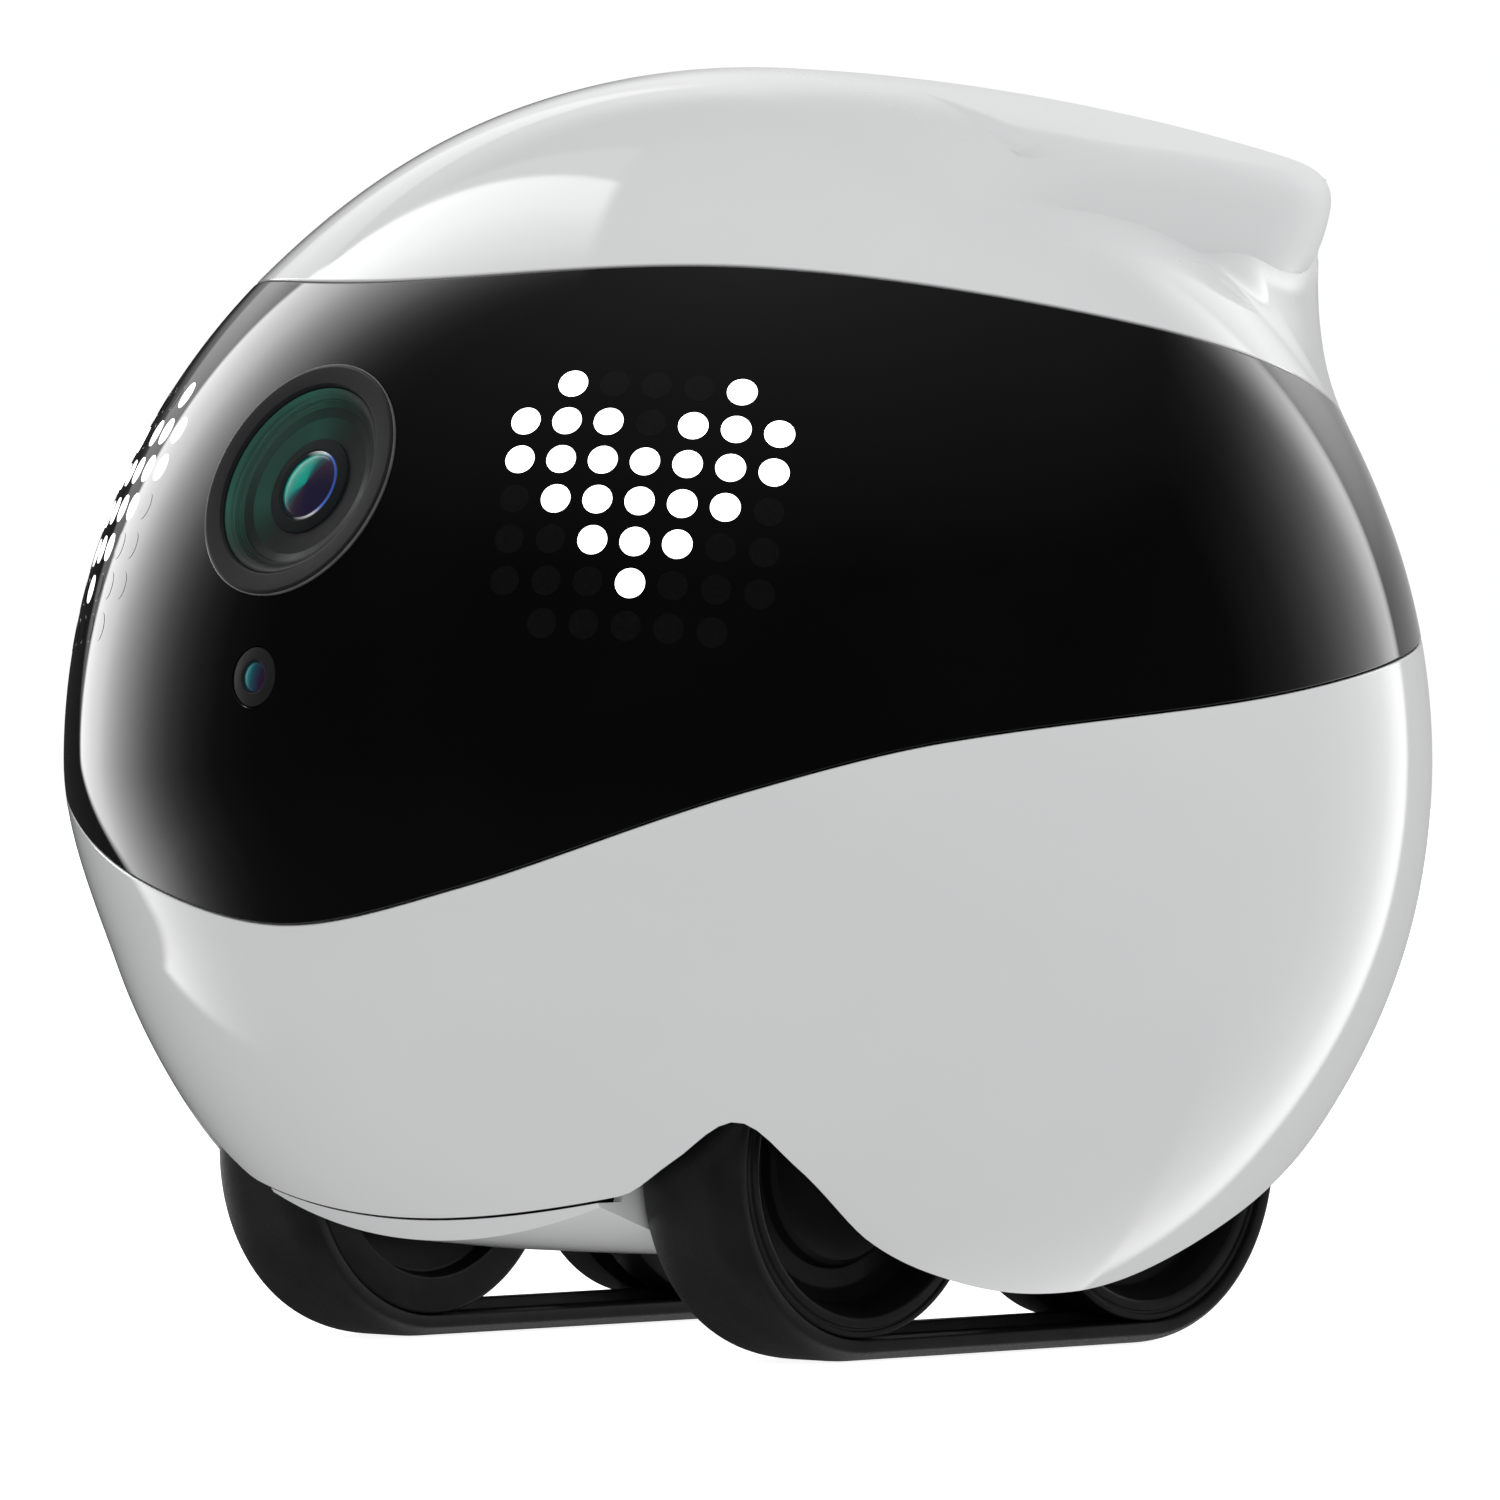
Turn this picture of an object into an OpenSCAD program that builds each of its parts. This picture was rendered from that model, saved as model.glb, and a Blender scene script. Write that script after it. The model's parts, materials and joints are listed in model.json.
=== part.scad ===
// Ball-shaped camera robot that drives on two rubber tracks.
// +Z is up, the robot looks along -Y, +X is its own left side, and the floor is Z = 0.
// Lengths are millimetres and angles are degrees.

/* [Body] */
// Diameter of the ball-shaped body
ball_d = 100; // [99:0.5:102]
// Height of the ball's centre above the floor
ball_z = 42.3; // [42.3:0.1:43]
// Wall of the moulded shells
shell_wall = 1.6; // [1.2:0.1:1.8]
// Gap at the seams between the shells
seam = 0.12; // [0.08:0.02:0.2]

/* [Tracks] */
// Distance between the middles of the two belts
gauge = 43.4; // [43:0.1:43.6]
// Distance between the two wheels of a track
wheelbase = 30; // [29.5:0.5:30.5]
// Radius of a wheel
wheel_r = 12.2; // [11.8:0.1:12.2]
// Width of a belt
belt_w = 9.4; // [9:0.1:9.6]
// Thickness of a belt at its crown
belt_t = 1.6; // [1.4:0.1:1.8]

/* [Camera] */
// Tilt of the camera above the horizon
camera_tilt = 23.7; // [22:0.1:25]
// Radius of the ring round the camera
camera_r = 8.8; // [8.4:0.1:9]
// Tilt of the small sensor window above the horizon
sensor_tilt = 6.9; // [6:0.1:8]
// Radius of the sensor window
sensor_r = 2.1; // [1.8:0.1:2.4]

/* [Eyes] */
// Angle of an eye to the side of straight ahead
eye_turn = 34.9; // [34:0.1:36]
// Tilt of an eye above the horizon
eye_tilt = 21.2; // [20:0.1:22]
// Angle by which the outer end of an eye's rows hangs down
eye_roll = 3.4; // [0:0.2:5]
// Distance between two lights of an eye
led_pitch = 2.98; // [2.9:0.02:3.04]

/* [Gears] */
// Size of the gear teeth
gear_module = 0.5; // [0.48:0.01:0.5]
// Teeth of the motor pinion
pinion_teeth = 10; // [10:1:11]
// Teeth of the large wheel of the reduction gear
large_teeth = 28; // [26:2:28]
// Teeth of the small wheel of the reduction gear
small_teeth = 10; // [10:1:11]
// Teeth of the gear on the drive axle
output_teeth = 18; // [17:1:18]

/* [Hidden] */
$fn = 64;

ball_r = ball_d / 2;
wall_r = ball_r - shell_wall;
white = "#e9eaec";
black = "#141416";
rubber = "#232325";
dark = "#2e2f33";
steel = "#b9bcc2";
gold = "#d8b45a";
board_green = "#1f6b45";
nylon = "#d9d6cc";

// ---- The ball, its crest and its edge lines ----

// Heights above the ball's centre at angles from straight ahead, the same on both sides
visor_top = [[0, 34], [45, 34.6], [90, 30.8], [135, 25.5], [180, 22.5]];
visor_bottom = [[0, -11.4], [20, -8.5], [44, -1.9], [60, 1.5], [90, 4.5], [135, 9.2], [180, 10.5]];
skirt_line = [[0, -32.4], [30, -30.4], [36.5, -27.8], [43, -25], [49, -28.2], [58, -33.6],
    [70, -36.6], [84, -37.8], [98, -36.8], [114, -32.7], [124, -29.2], [135, -25],
    [143, -27], [152, -30.2], [180, -32.4]];

// The crest's cap, as parts of the ball's radius: its height and how its top falls away on each side
cap_height = 1.0115;
cap_fall_back = 0.1107;
cap_fall_side = 0.3491;
cap_fall_front = 0.45;

// The ball's slight rise under the cap, and the height where it starts
crown = 0.011;
crown_z = 0.72;

// Where the cap starts to stand out of the ball, and the depth it takes to do so
cap_start = -0.22;
cap_depth = 0.30;

// The cap's outline seen from above: half its width, its reach to the back and front, its squareness
cap_half_width = 0.6275;
cap_back = 0.8337;
cap_front = 0.72;
cap_square = 3.9;

// How the cap's side curls in, the height where it's widest, and the rounding of its top edge
cap_roll = 2.339;
cap_roll_z = 0.856;
cap_round = 0.0572;
cap_front_round = 0.2;

// The neck under the cap: its outline, its height, how it leans in below and how wide it flares
neck_half_width = 0.5504;
neck_back = 0.8661;
neck_front = 0.35;
neck_square = 3.69;
neck_z = 0.7363;
neck_lean = 0.2026;
neck_flare = 0.2786;

// Softness of the line where the cap meets the ball, at its sides and at the front
crease_round = 0.0015;
crease_front_round = 0.008;

// How much the lower body is drawn in, as parts of the ball's radius
chin_tuck = 0.040;
skirt_tuck = 0.012;

function soft_max(a, b, k) =
    let (h = max(k - abs(a - b), 0))
    max(a, b) + h * h / (4 * k);
function soft_min(a, b, k) = -soft_max(-a, -b, k);
function ease(t) =
    let (c = min(max(t, 0), 1))
    c * c * (3 - 2 * c);

// Height of an edge line at an angle, as a smooth curve through its points
function slope_at(line, i) =
    (i == 0 || i == len(line) - 1) ? 0
    : (line[i + 1][1] - line[i - 1][1]) / (line[i + 1][0] - line[i - 1][0]);
function span_of(line, a, i = 0) =
    (i >= len(line) - 2 || a < line[i + 1][0]) ? i : span_of(line, a, i + 1);
function folded(a) = a > 180 ? 360 - a : a;
function edge_height(line, turn) =
    let (a = folded(turn), i = span_of(line, a), w = line[i + 1][0] - line[i][0],
        t = (a - line[i][0]) / w, u = 1 - t)
    line[i][1] * u * u * (1 + 2 * t) + line[i + 1][1] * t * t * (3 - 2 * t)
    + w * t * u * (slope_at(line, i) * u - slope_at(line, i + 1) * t);

// Distance from the ball's upright axis to a rounded outline, along the level part of a direction
function plan_reach(dx, dy, half_width, back, front, square) =
    let (level = max(norm([dx, dy]), 0.000001),
        across = abs(dx) / level / half_width,
        along = (dy > 0 ? dy / back : -dy / front) / level)
    min(pow(pow(across, square) + pow(along, square), -1 / square), 1.5);

// Reach of the cap's top, of the whole cap, and of the ball with its neck, along a direction
function cap_top(dx, dy, dz) =
    let (along = dy > 0 ? cap_fall_back : cap_fall_front,
        fall = max(cap_fall_side * dx * dx + along * dy * dy, 0.000001))
    min((-dz + sqrt(dz * dz + 4 * fall * cap_height)) / (2 * fall), 3);
function cap_reach(dx, dy, dz) =
    let (plan = plan_reach(dx, dy, cap_half_width, cap_back, cap_front, cap_square),
        a = plan * cap_roll * dz * dz,
        b = norm([dx, dy]) - 2 * plan * cap_roll * dz * cap_roll_z,
        c = plan * (cap_roll * cap_roll_z * cap_roll_z - 1),
        root = b * b - 4 * a * c,
        side = root > 0 ? min((-b + sqrt(root)) / max(2 * a, 0.000001), 3) : 0)
    soft_min(cap_top(dx, dy, dz), side, cap_round + cap_front_round * ease((0.15 - dy) / 0.4));
function base_reach(dx, dy, dz, elev) =
    let (level = max(norm([dx, dy]), 0.000001),
        plan = plan_reach(dx, dy, neck_half_width, neck_back, neck_front, neck_square),
        lean = max(level - neck_lean * dz, 0.05),
        free = min((plan - neck_lean * neck_z) / lean, 3, cap_top(dx, dy, dz) - 0.02),
        neck = free - 0.4 * ease(-dy / 0.2),
        flare = neck_flare * ease((dy / level - 0.42) / 0.27) * ease((60 - elev) / 15))
    soft_max(1 + crown * ease((dz - crown_z) / (1 - crown_z)), neck,
        0.004 + flare * ease((elev - 8) / 16));

// Radius of the body's outer surface at an angle and an elevation
function body_r(turn, elev) =
    let (dx = cos(elev) * sin(turn), dy = -cos(elev) * cos(turn), dz = sin(elev),
        soft = crease_round + crease_front_round * ease((0.1 - dy) / 0.2),
        base = base_reach(dx, dy, dz, elev),
        rise = soft_max(base, cap_reach(dx, dy, dz), soft) - base,
        tuck = chin_tuck * max(cos(turn), 0) * ease(-elev / 18)
            + skirt_tuck * abs(cos(turn)) * ease((-12 - elev) / 25))
    ball_r * (base + rise * ease((dy - cap_start) / cap_depth) - tuck);
function inner_r(turn, elev) =
    let (swell = body_r(turn, elev) - ball_r)
    wall_r + swell * (swell > 0 ? 0.75 : 1);

// Elevation of the line where the cap meets the ball or its neck, found by halving
function crease_elev(turn, low = 40, high = 89, left = 12) =
    let (e = (low + high) / 2, dx = cos(e) * sin(turn), dy = -cos(e) * cos(turn), dz = sin(e),
        above = cap_reach(dx, dy, dz) > base_reach(dx, dy, dz, e))
    left == 0 ? e : crease_elev(turn, above ? low : e, above ? e : high, left - 1);

// Elevation at which the body's surface has a height above the ball's centre
function elevation(turn, z) = asin(z / body_r(turn, asin(z / ball_r)));

function ball_point(turn, elev, r) =
    [r * cos(elev) * sin(turn), -r * cos(elev) * cos(turn), ball_z + r * sin(elev)];

// A thin skin of the body between a low line and a high line, or up to the top of the ball. A skin
// up to the top has some of its rows below the cap's crease and the others above it.
module skin(turns, rows, low, high = undef, under = 0) {
    step = 360 / turns;
    closed = is_undef(high);
    last = closed ? rows - 1 : rows;
    gap = seam / 2;
    start = [for (i = [0:turns - 1])
        let (turn = i * step) elevation(turn, edge_height(low, turn) + gap)];
    crease = [for (i = [0:turns - 1]) closed ? max(crease_elev(i * step), start[i] + 3) : 0];
    end = [for (i = [0:turns - 1])
        let (turn = i * step) closed ? 90 : elevation(turn, edge_height(high, turn) - gap)];
    function elev(i, j) =
        !closed ? start[i] + (end[i] - start[i]) * j / rows
        : j <= under ? start[i] + (crease[i] - start[i]) * (1 - pow(1 - j / under, 1.4))
        : crease[i] + (90 - crease[i]) * pow((j - under) / (rows - under), 1.4);
    function at(side, i, j) = (side * turns + i % turns) * (last + 1) + j;
    grid = [for (side = [0, 1]) for (i = [0:turns - 1]) for (j = [0:last])
        let (e = elev(i, j), r = side == 0 ? body_r(i * step, e) : inner_r(i * step, e))
        ball_point(i * step, e, r)];
    outer_pole = len(grid);
    poles = [ball_point(0, 90, body_r(0, 90)), ball_point(0, 90, inner_r(0, 90))];
    sides = [for (i = [0:turns - 1]) for (j = [0:last - 1]) each [
        [at(0, i, j), at(0, i, j + 1), at(0, i + 1, j + 1)],
        [at(0, i, j), at(0, i + 1, j + 1), at(0, i + 1, j)],
        [at(1, i, j), at(1, i + 1, j), at(1, i + 1, j + 1)],
        [at(1, i, j), at(1, i + 1, j + 1), at(1, i, j + 1)]]];
    low_rim = [for (i = [0:turns - 1]) each [
        [at(0, i, 0), at(0, i + 1, 0), at(1, i + 1, 0)],
        [at(0, i, 0), at(1, i + 1, 0), at(1, i, 0)]]];
    high_end = [for (i = [0:turns - 1]) each closed ? [
        [at(0, i, last), outer_pole, at(0, i + 1, last)],
        [at(1, i, last), at(1, i + 1, last), outer_pole + 1]] : [
        [at(0, i + 1, last), at(0, i, last), at(1, i, last)],
        [at(0, i + 1, last), at(1, i, last), at(1, i + 1, last)]]];
    polyhedron(closed ? concat(grid, poles) : grid, concat(sides, low_rim, high_end), convexity = 6);
}

// Places children on an axis through the ball's centre, with local +Z pointing outwards
module aimed(turn, tilt, roll = 0) {
    translate([0, 0, ball_z]) rotate([0, 0, turn]) rotate([90 - tilt, 0, 0]) rotate([0, 0, roll])
        children();
}

// ---- Rear sockets and button, in the visor's narrow rear part ----

board_top = 54.7;
board_t = 1.2;
socket_core = [5.9, 0.4];
socket_round = 1.5;
socket_mouth_y = 47.2;
socket_z = board_top + socket_round + socket_core[1] / 2;
button_x = -11;
button_z = board_top + 2;
button_r = 2.3;
card_w = 11.4;
card_x = 12.5;
card_mouth_y = 42.4;

module top_shell() {
    color(white)
        skin(turns = 96, rows = 26, low = visor_top, under = 9);
}

module visor() {
    color(black)
        difference() {
            skin(turns = 72, rows = 9, low = visor_bottom, high = visor_top);
            aimed(0, camera_tilt)
                translate([0, 0, ball_r - 10])
                    cylinder(r = camera_r + 0.1, h = 20);
            aimed(0, sensor_tilt)
                translate([0, 0, ball_r - 10])
                    cylinder(r = sensor_r + 0.1, h = 20);
            translate([0, 60, socket_z])
                rotate([90, 0, 0])
                    linear_extrude(20)
                        offset(r = socket_round + 0.25) square(socket_core, center = true);
            translate([card_x - card_w / 2 - 0.3, 35, board_top + 0.1])
                cube([card_w + 0.6, 20, 1.5]);
            translate([button_x, 35, button_z])
                rotate([-90, 0, 0])
                    cylinder(r = button_r + 0.2, h = 25);
        }
}

module lower_shell() {
    color(white)
        skin(turns = 120, rows = 10, low = skirt_line, high = visor_bottom);
}

// ---- Camera and sensor ----

ring_inner_r = 7.25;

module camera_ring() {
    low = 45.4;
    high = 49.55;
    bevel = 0.25;
    color(black)
        aimed(0, camera_tilt)
            rotate_extrude()
                polygon([[ring_inner_r, low], [camera_r, low], [camera_r, high - bevel],
                    [camera_r - bevel, high], [ring_inner_r + 2 * bevel, high],
                    [ring_inner_r, high - 2 * bevel]]);
}

module camera_window() {
    dome_r = 40;
    dome_top = 49.3;
    color("#123030", 0.6)
        aimed(0, camera_tilt)
            intersection() {
                translate([0, 0, 48]) cylinder(r = ring_inner_r - 0.05, h = 3);
                translate([0, 0, dome_top - dome_r]) sphere(r = dome_r, $fn = 128);
            }
}

barrel_r = 7.1;
lens_r = 4;
lens_seat = 44.2;

module lens_barrel() {
    color("#19191b")
        aimed(0, camera_tilt)
            rotate_extrude()
                polygon([[0, 37.6], [5.6, 37.6], [5.6, 40], [barrel_r, 40], [barrel_r, 47.9],
                    [6.4, 47.9], [6.2, 47.2], [5.4, 47.2], [5.2, 46.4], [lens_r + 0.5, 46.4],
                    [lens_r + 0.05, 45.9], [lens_r + 0.05, lens_seat], [0, lens_seat]]);
}

module front_lens_element() {
    dome_r = 6.2;
    dome_top = 47.1;
    color("#1d2a5a")
        aimed(0, camera_tilt)
            intersection() {
                translate([0, 0, lens_seat]) cylinder(r = lens_r, h = 4);
                translate([0, 0, dome_top - dome_r]) sphere(r = dome_r, $fn = 96);
            }
}

module camera_holder() {
    low = 42.4;
    height = 2.8;
    color(dark)
        aimed(0, camera_tilt)
            translate([0, 0, low])
                difference() {
                    cylinder(r = 11, h = height);
                    translate([0, 0, -1]) cylinder(r = barrel_r + 0.05, h = height + 2);
                }
}

module camera_board() {
    color(board_green)
        aimed(0, camera_tilt) {
            translate([-8, -8, 36.4]) cube([16, 16, 1]);
            translate([-3, -3, 37.4]) cube([6, 6, 0.2]);
        }
}

module sensor_window() {
    color("#10181c")
        aimed(0, sensor_tilt)
            difference() {
                translate([0, 0, 47.6]) cylinder(r = sensor_r, h = 2.3);
                translate([0, 0, 49.5]) cylinder(r = 1.05, h = 2);
            }
}

module sensor_module() {
    seat = 44.9;
    color(board_green)
        aimed(0, sensor_tilt) {
            translate([-5, -3.8, seat]) cube([10, 5, 1]);
            translate([-2.2, -1.2, seat + 1]) cube([4.4, 2.4, 1.2]);
        }
}

// ---- Eyes: a square field of lights without its corners ----

led_cells = 7;
led_hole_r = 1.12;
led_r = 0.85;
eye_board_z = 42;
eye_half = 10.6;

module each_led() {
    middle = (led_cells - 1) / 2;
    for (row = [-middle:middle]) for (col = [-middle:middle])
        if (!(abs(row) == middle && abs(col) == middle))
            translate([col * led_pitch, row * led_pitch, 0])
                children();
}

// side is +1 for the robot's left eye and -1 for its right one
module at_eye(side) {
    aimed(side * eye_turn, eye_tilt, -side * eye_roll)
        children();
}

module eye_grid(side) {
    color(dark)
        at_eye(side)
            difference() {
                intersection() {
                    translate([0, 0, eye_board_z + 1])
                        linear_extrude(8)
                            square(2 * eye_half, center = true);
                    sphere(r = wall_r - 0.5, $fn = 128);
                }
                translate([0, 0, eye_board_z])
                    each_led()
                        cylinder(r = led_hole_r, h = 10, $fn = 24);
            }
}

module eye_lights(side) {
    color("#f4f6ff")
        at_eye(side)
            translate([0, 0, eye_board_z + 1])
                each_led()
                    cylinder(r = led_r, h = 1.1, $fn = 24);
}

module eye_board(side) {
    color(board_green)
        at_eye(side)
            translate([-eye_half - 0.6, -eye_half - 0.6, eye_board_z])
                cube([2 * eye_half + 1.2, 2 * eye_half + 1.2, 1]);
}

// ---- Tracks ----

belt_gap = 0.1;
belt_edge_t = 0.75;
belt_flat = 1.6;
rib_w = 1.6;
rib_h = 0.8;
belt_in_r = wheel_r + belt_gap;
axle_z = belt_in_r + belt_t;
axle_y = wheelbase / 2;
wheel_w = belt_w - 0.6;

// The right track is the left one turned half round, so its drive wheel is the front one
module on_side(side) {
    rotate([0, 0, side > 0 ? 0 : 180])
        children();
}

// Crown of the belt: flat in the middle, rounded to the edges
function crown(u) =
    let (t = max(0, abs(u) - belt_flat) / (belt_w / 2 - belt_flat))
    belt_edge_t + (belt_t - belt_edge_t) * sqrt(max(0, 1 - pow(t, 2.2)));

// Half of the belt's outline as [across, outwards] points, from its middle to its edge
function belt_half() =
    concat([[0, belt_t], [belt_flat, belt_t]],
        [for (t = [0.45, 0.7, 0.86, 0.95, 1])
            let (u = belt_flat + (belt_w / 2 - belt_flat) * t) [u, crown(u)]],
        [[belt_w / 2, 0], [rib_w / 2, 0], [rib_w / 2, -rib_h], [0, -rib_h]]);
function belt_outline() =
    let (half = belt_half(), n = len(half))
    concat(half, [for (i = [n - 2:-1:1]) [-half[i][0], half[i][1]]]);

module belt(side) {
    color(rubber)
        on_side(side)
            translate([gauge / 2, 0, axle_z]) {
                for (end = [0, 1])
                    mirror([0, end, 0])
                        translate([0, axle_y, 0])
                            rotate([0, 90, 0])
                                rotate_extrude(angle = 180, $fn = 96)
                                    polygon([for (p = belt_outline()) [belt_in_r + p[1], p[0]]]);
                for (up = [-1, 1])
                    translate([0, axle_y, 0])
                        rotate([90, 0, 0])
                            linear_extrude(wheelbase)
                                polygon([for (p = belt_outline()) [p[0], up * (belt_in_r + p[1])]]);
            }
}

module axle_placed(side, y) {
    on_side(side)
        translate([gauge / 2, y, axle_z])
            rotate([0, 90, 0])
                children();
}

drive_axle_r = 1.5;
idle_axle_r = 1.25;
running_gap = 0.05;
groove_w = rib_w + 0.6;
groove_r = wheel_r - rib_h - 0.3;
hub_r = 7.1;

// A wheel with a dished outer face, a raised hub, a belt groove and a blind axle hole
module wheel(bore_r) {
    half = wheel_w / 2;
    hole_end = 0.8;
    rotate_extrude($fn = 96)
        polygon([[bore_r, -half], [wheel_r - 0.3, -half], [wheel_r, -half + 0.3],
            [wheel_r, -groove_w / 2], [groove_r, -groove_w / 2], [groove_r, groove_w / 2],
            [wheel_r, groove_w / 2], [wheel_r, half - 0.3], [wheel_r - 0.3, half],
            [10.75, half], [10.45, half - 0.2], [10.1, half - 1.2], [9.8, half - 2.4],
            [9.3, half - 3], [8.6, half - 3.2], [hub_r + 0.2, half - 3.2], [hub_r, half - 3],
            [hub_r, half - 2.5], [hub_r - 0.3, half - 2.2], [0, half - 2.2],
            [0, hole_end], [bore_r, hole_end]]);
}

module drive_wheel(side) {
    color(black)
        axle_placed(side, axle_y)
            wheel(drive_axle_r);
}

module idle_wheel(side) {
    color(black)
        axle_placed(side, -axle_y)
            wheel(idle_axle_r + running_gap);
}

// ---- Chassis ----

deck_z = 30.6;
deck_t = 2;
deck_r = 43;
chassis_r = 45.2;
battery_bay = [27.6, 48];
speaker_y = -33;
speaker_hole_r = 7;
rail_y = 18;
rail_h = 1.6;
board_screw_r = 0.8;
well_wall_x = 14.4;
well_wall_t = 1.5;
well_face = well_wall_x + well_wall_t;
bush_r = 2.6;
bush_tip = gauge / 2 - wheel_w / 2 - 0.4;
well_low = 9.5;
well_length = 62;
boss_x = 9.5;
post_x = 23;
post_y = 14;

module chassis_side() {
    difference() {
        union() {
            translate([well_wall_x, -well_length / 2, well_low])
                cube([well_wall_t, well_length, deck_z - well_low]);
            translate([well_wall_x, axle_y, axle_z])
                rotate([0, 90, 0])
                    cylinder(r = bush_r + 1.2, h = bush_tip - 0.2 - well_wall_x);
            translate([boss_x, -axle_y, axle_z])
                rotate([0, 90, 0])
                    cylinder(r = 3.2, h = bush_tip - 0.2 - boss_x);
        }
        translate([0, axle_y, axle_z])
            rotate([0, 90, 0])
                cylinder(r = bush_r, h = 40);
        translate([0, -axle_y, axle_z])
            rotate([0, 90, 0])
                cylinder(r = idle_axle_r, h = 40);
    }
}

module chassis() {
    color(dark)
        intersection() {
            union() {
                translate([-50, tray_bend_y, 0]) cube([100, 100, 100]);
                translate([-50, -50, deck_z - 3]) cube([100, 100, 100]);
                tray_bend(tray_t + 0.1);
            }
            union() {
                translate([0, 0, deck_z])
                    linear_extrude(deck_t)
                        difference() {
                            circle(r = deck_r, $fn = 96);
                            square(battery_bay, center = true);
                            translate([0, speaker_y]) circle(r = speaker_hole_r);
                        }
                for (side = [-1, 1])
                    on_side(side)
                        chassis_side();
                for (x = [-post_x, post_x], y = [-post_y, post_y])
                    translate([x, y, deck_z + deck_t])
                        difference() {
                            cylinder(r = 2.2, h = board_top - board_t - deck_z - deck_t);
                            translate([0, 0, 14]) cylinder(r = board_screw_r, h = 10);
                        }
                for (y = [-rail_y, rail_y])
                    translate([0, y, deck_z + deck_t + rail_h / 2])
                        cube([41, 2, rail_h], center = true);
            }
            translate([0, 0, ball_z]) sphere(r = chassis_r, $fn = 128);
        }
}

// ---- Bottom cover: the tray between the tracks ----

tray_half = well_face + 0.7;
tray_low = 6.9;
tray_top = 14.6;
tray_t = 1.4;
tray_sphere_y = 1.3;
tray_sphere_r = 48.3;
tray_front_y = -29.8;
tray_back_y = 31.8;
tray_lip_z = ball_z - 32.9;
tray_bend_y = -10;
tray_bend_r = 130;

module tray_ball(inset) {
    translate([0, tray_sphere_y, ball_z]) sphere(r = tray_sphere_r - inset, $fn = 160);
}

// The tray's flat underside, which bends up towards the lower shell in front
module tray_bend(inset) {
    translate([-50, tray_bend_y, tray_low + inset]) cube([100, 60, 60]);
    translate([-50, tray_bend_y, tray_low + tray_bend_r])
        rotate([0, 90, 0])
            cylinder(r = tray_bend_r - inset, h = 100, $fn = 360);
}

module bottom_cover() {
    color(white)
        difference() {
            intersection() {
                tray_ball(0);
                tray_bend(0);
                translate([-tray_half, -50, 0]) cube([2 * tray_half, 100, tray_top]);
                union() {
                    translate([-50, tray_front_y, 0]) cube([100, tray_back_y - tray_front_y, 50]);
                    translate([-50, -50, 0]) cube([100, 100, tray_lip_z]);
                }
            }
            intersection() {
                tray_ball(tray_t);
                tray_bend(tray_t);
                translate([-well_face - 0.05, -50, 0]) cube([2 * well_face + 0.1, 100, 30]);
            }
            for (side = [-1, 1], y = [-axle_y, axle_y])
                translate([side * 25, y, axle_z])
                    rotate([0, -side * 90, 0])
                        cylinder(r = bush_r + 1.6, h = 14);
            each_cover_screw() translate([0, 0, -1]) cylinder(r = 1.05, h = 6);
            each_cover_screw() translate([0, 0, -1]) cylinder(r = 2, h = 1 + screw_seat);
            for (x = [-contact_x, contact_x])
                translate([x, contact_y, tray_low - 1])
                    cylinder(r = contact_r, h = 5);
        }
}

screw_x = 9;
screw_front_y = -8;
screw_back_y = 26;
screw_seat = 0.7;
contact_x = 5;
contact_y = 20;
contact_r = 2;

module each_cover_screw() {
    for (x = [-screw_x, screw_x], y = [screw_front_y, screw_back_y])
        translate([x, y, tray_low])
            children();
}

// A pan-head screw with a cross slot, head down, its seat at Z = 0
module screw(head_r, head_h, shank_r, length) {
    difference() {
        union() {
            translate([0, 0, -head_h]) cylinder(r = head_r, h = head_h);
            cylinder(r = shank_r, h = length);
        }
        for (turn = [0, 90])
            rotate([0, 0, turn])
                translate([-head_r * 0.55, -0.2, -head_h - 0.1])
                    cube([head_r * 1.1, 0.4, 0.6]);
    }
}

module cover_screws() {
    color(steel)
        each_cover_screw()
            translate([0, 0, screw_seat])
                screw(head_r = 1.8, head_h = 0.65, shank_r = 1, length = 4);
}

module charging_contacts() {
    color(gold)
        for (x = [-contact_x, contact_x])
            translate([x, contact_y, tray_low]) {
                translate([0, 0, 0.1]) cylinder(r = contact_r, h = 2);
                translate([0, 0, tray_t]) cylinder(r = contact_r + 0.8, h = 0.8);
            }
}

// ---- Drive train, in planes across X; local x, y and z lie along Y, Z and X ----

gear_play = 0.05;
pressure = 20;
tip_part = 0.7;
root_part = 1.0;
backlash = 0.10;

function pitch_r(teeth) = gear_module * teeth / 2;
function mesh_distance(a, b) = pitch_r(a) + pitch_r(b) + gear_play;

output_at = [axle_y, axle_z];
to_reduction = 110;
reduction_at = output_at
    + mesh_distance(output_teeth, small_teeth) * [cos(to_reduction), sin(to_reduction)];
to_pinion = 119;
pinion_at = reduction_at
    + mesh_distance(large_teeth, pinion_teeth) * [cos(to_pinion), sin(to_pinion)];

output_x = 11.9;
output_w = 2;
large_x = 9.5;
large_w = 1.9;
plate_x = 8.3;
plate_t = 0.8;
motor_x = -8.6;
motor_r = 5.1;
motor_flat = 4.1;
motor_nose_r = 1.6;
shaft_r = 0.75;
shaft_depth = 8;
gear_pin_r = 0.9;

// Angle of an involute at a radius beyond its base circle
function roll_angle(base, r) =
    let (a = acos(min(1, base / r)))
    tan(a) * 180 / PI - a;

// One flank of a tooth, from root to tip, as points with their angle from the tooth's middle
function flank(teeth) =
    let (p = pitch_r(teeth), base = p * cos(pressure), tip = p + tip_part * gear_module,
        root = p - root_part * gear_module, from = max(base, root),
        half = 90 / teeth - backlash / 2 / p * 180 / PI)
    concat([[root, half + roll_angle(base, p)]],
        [for (i = [0:4]) let (r = from + (tip - from) * i / 4)
            [r, half + roll_angle(base, p) - roll_angle(base, r)]]);

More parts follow.
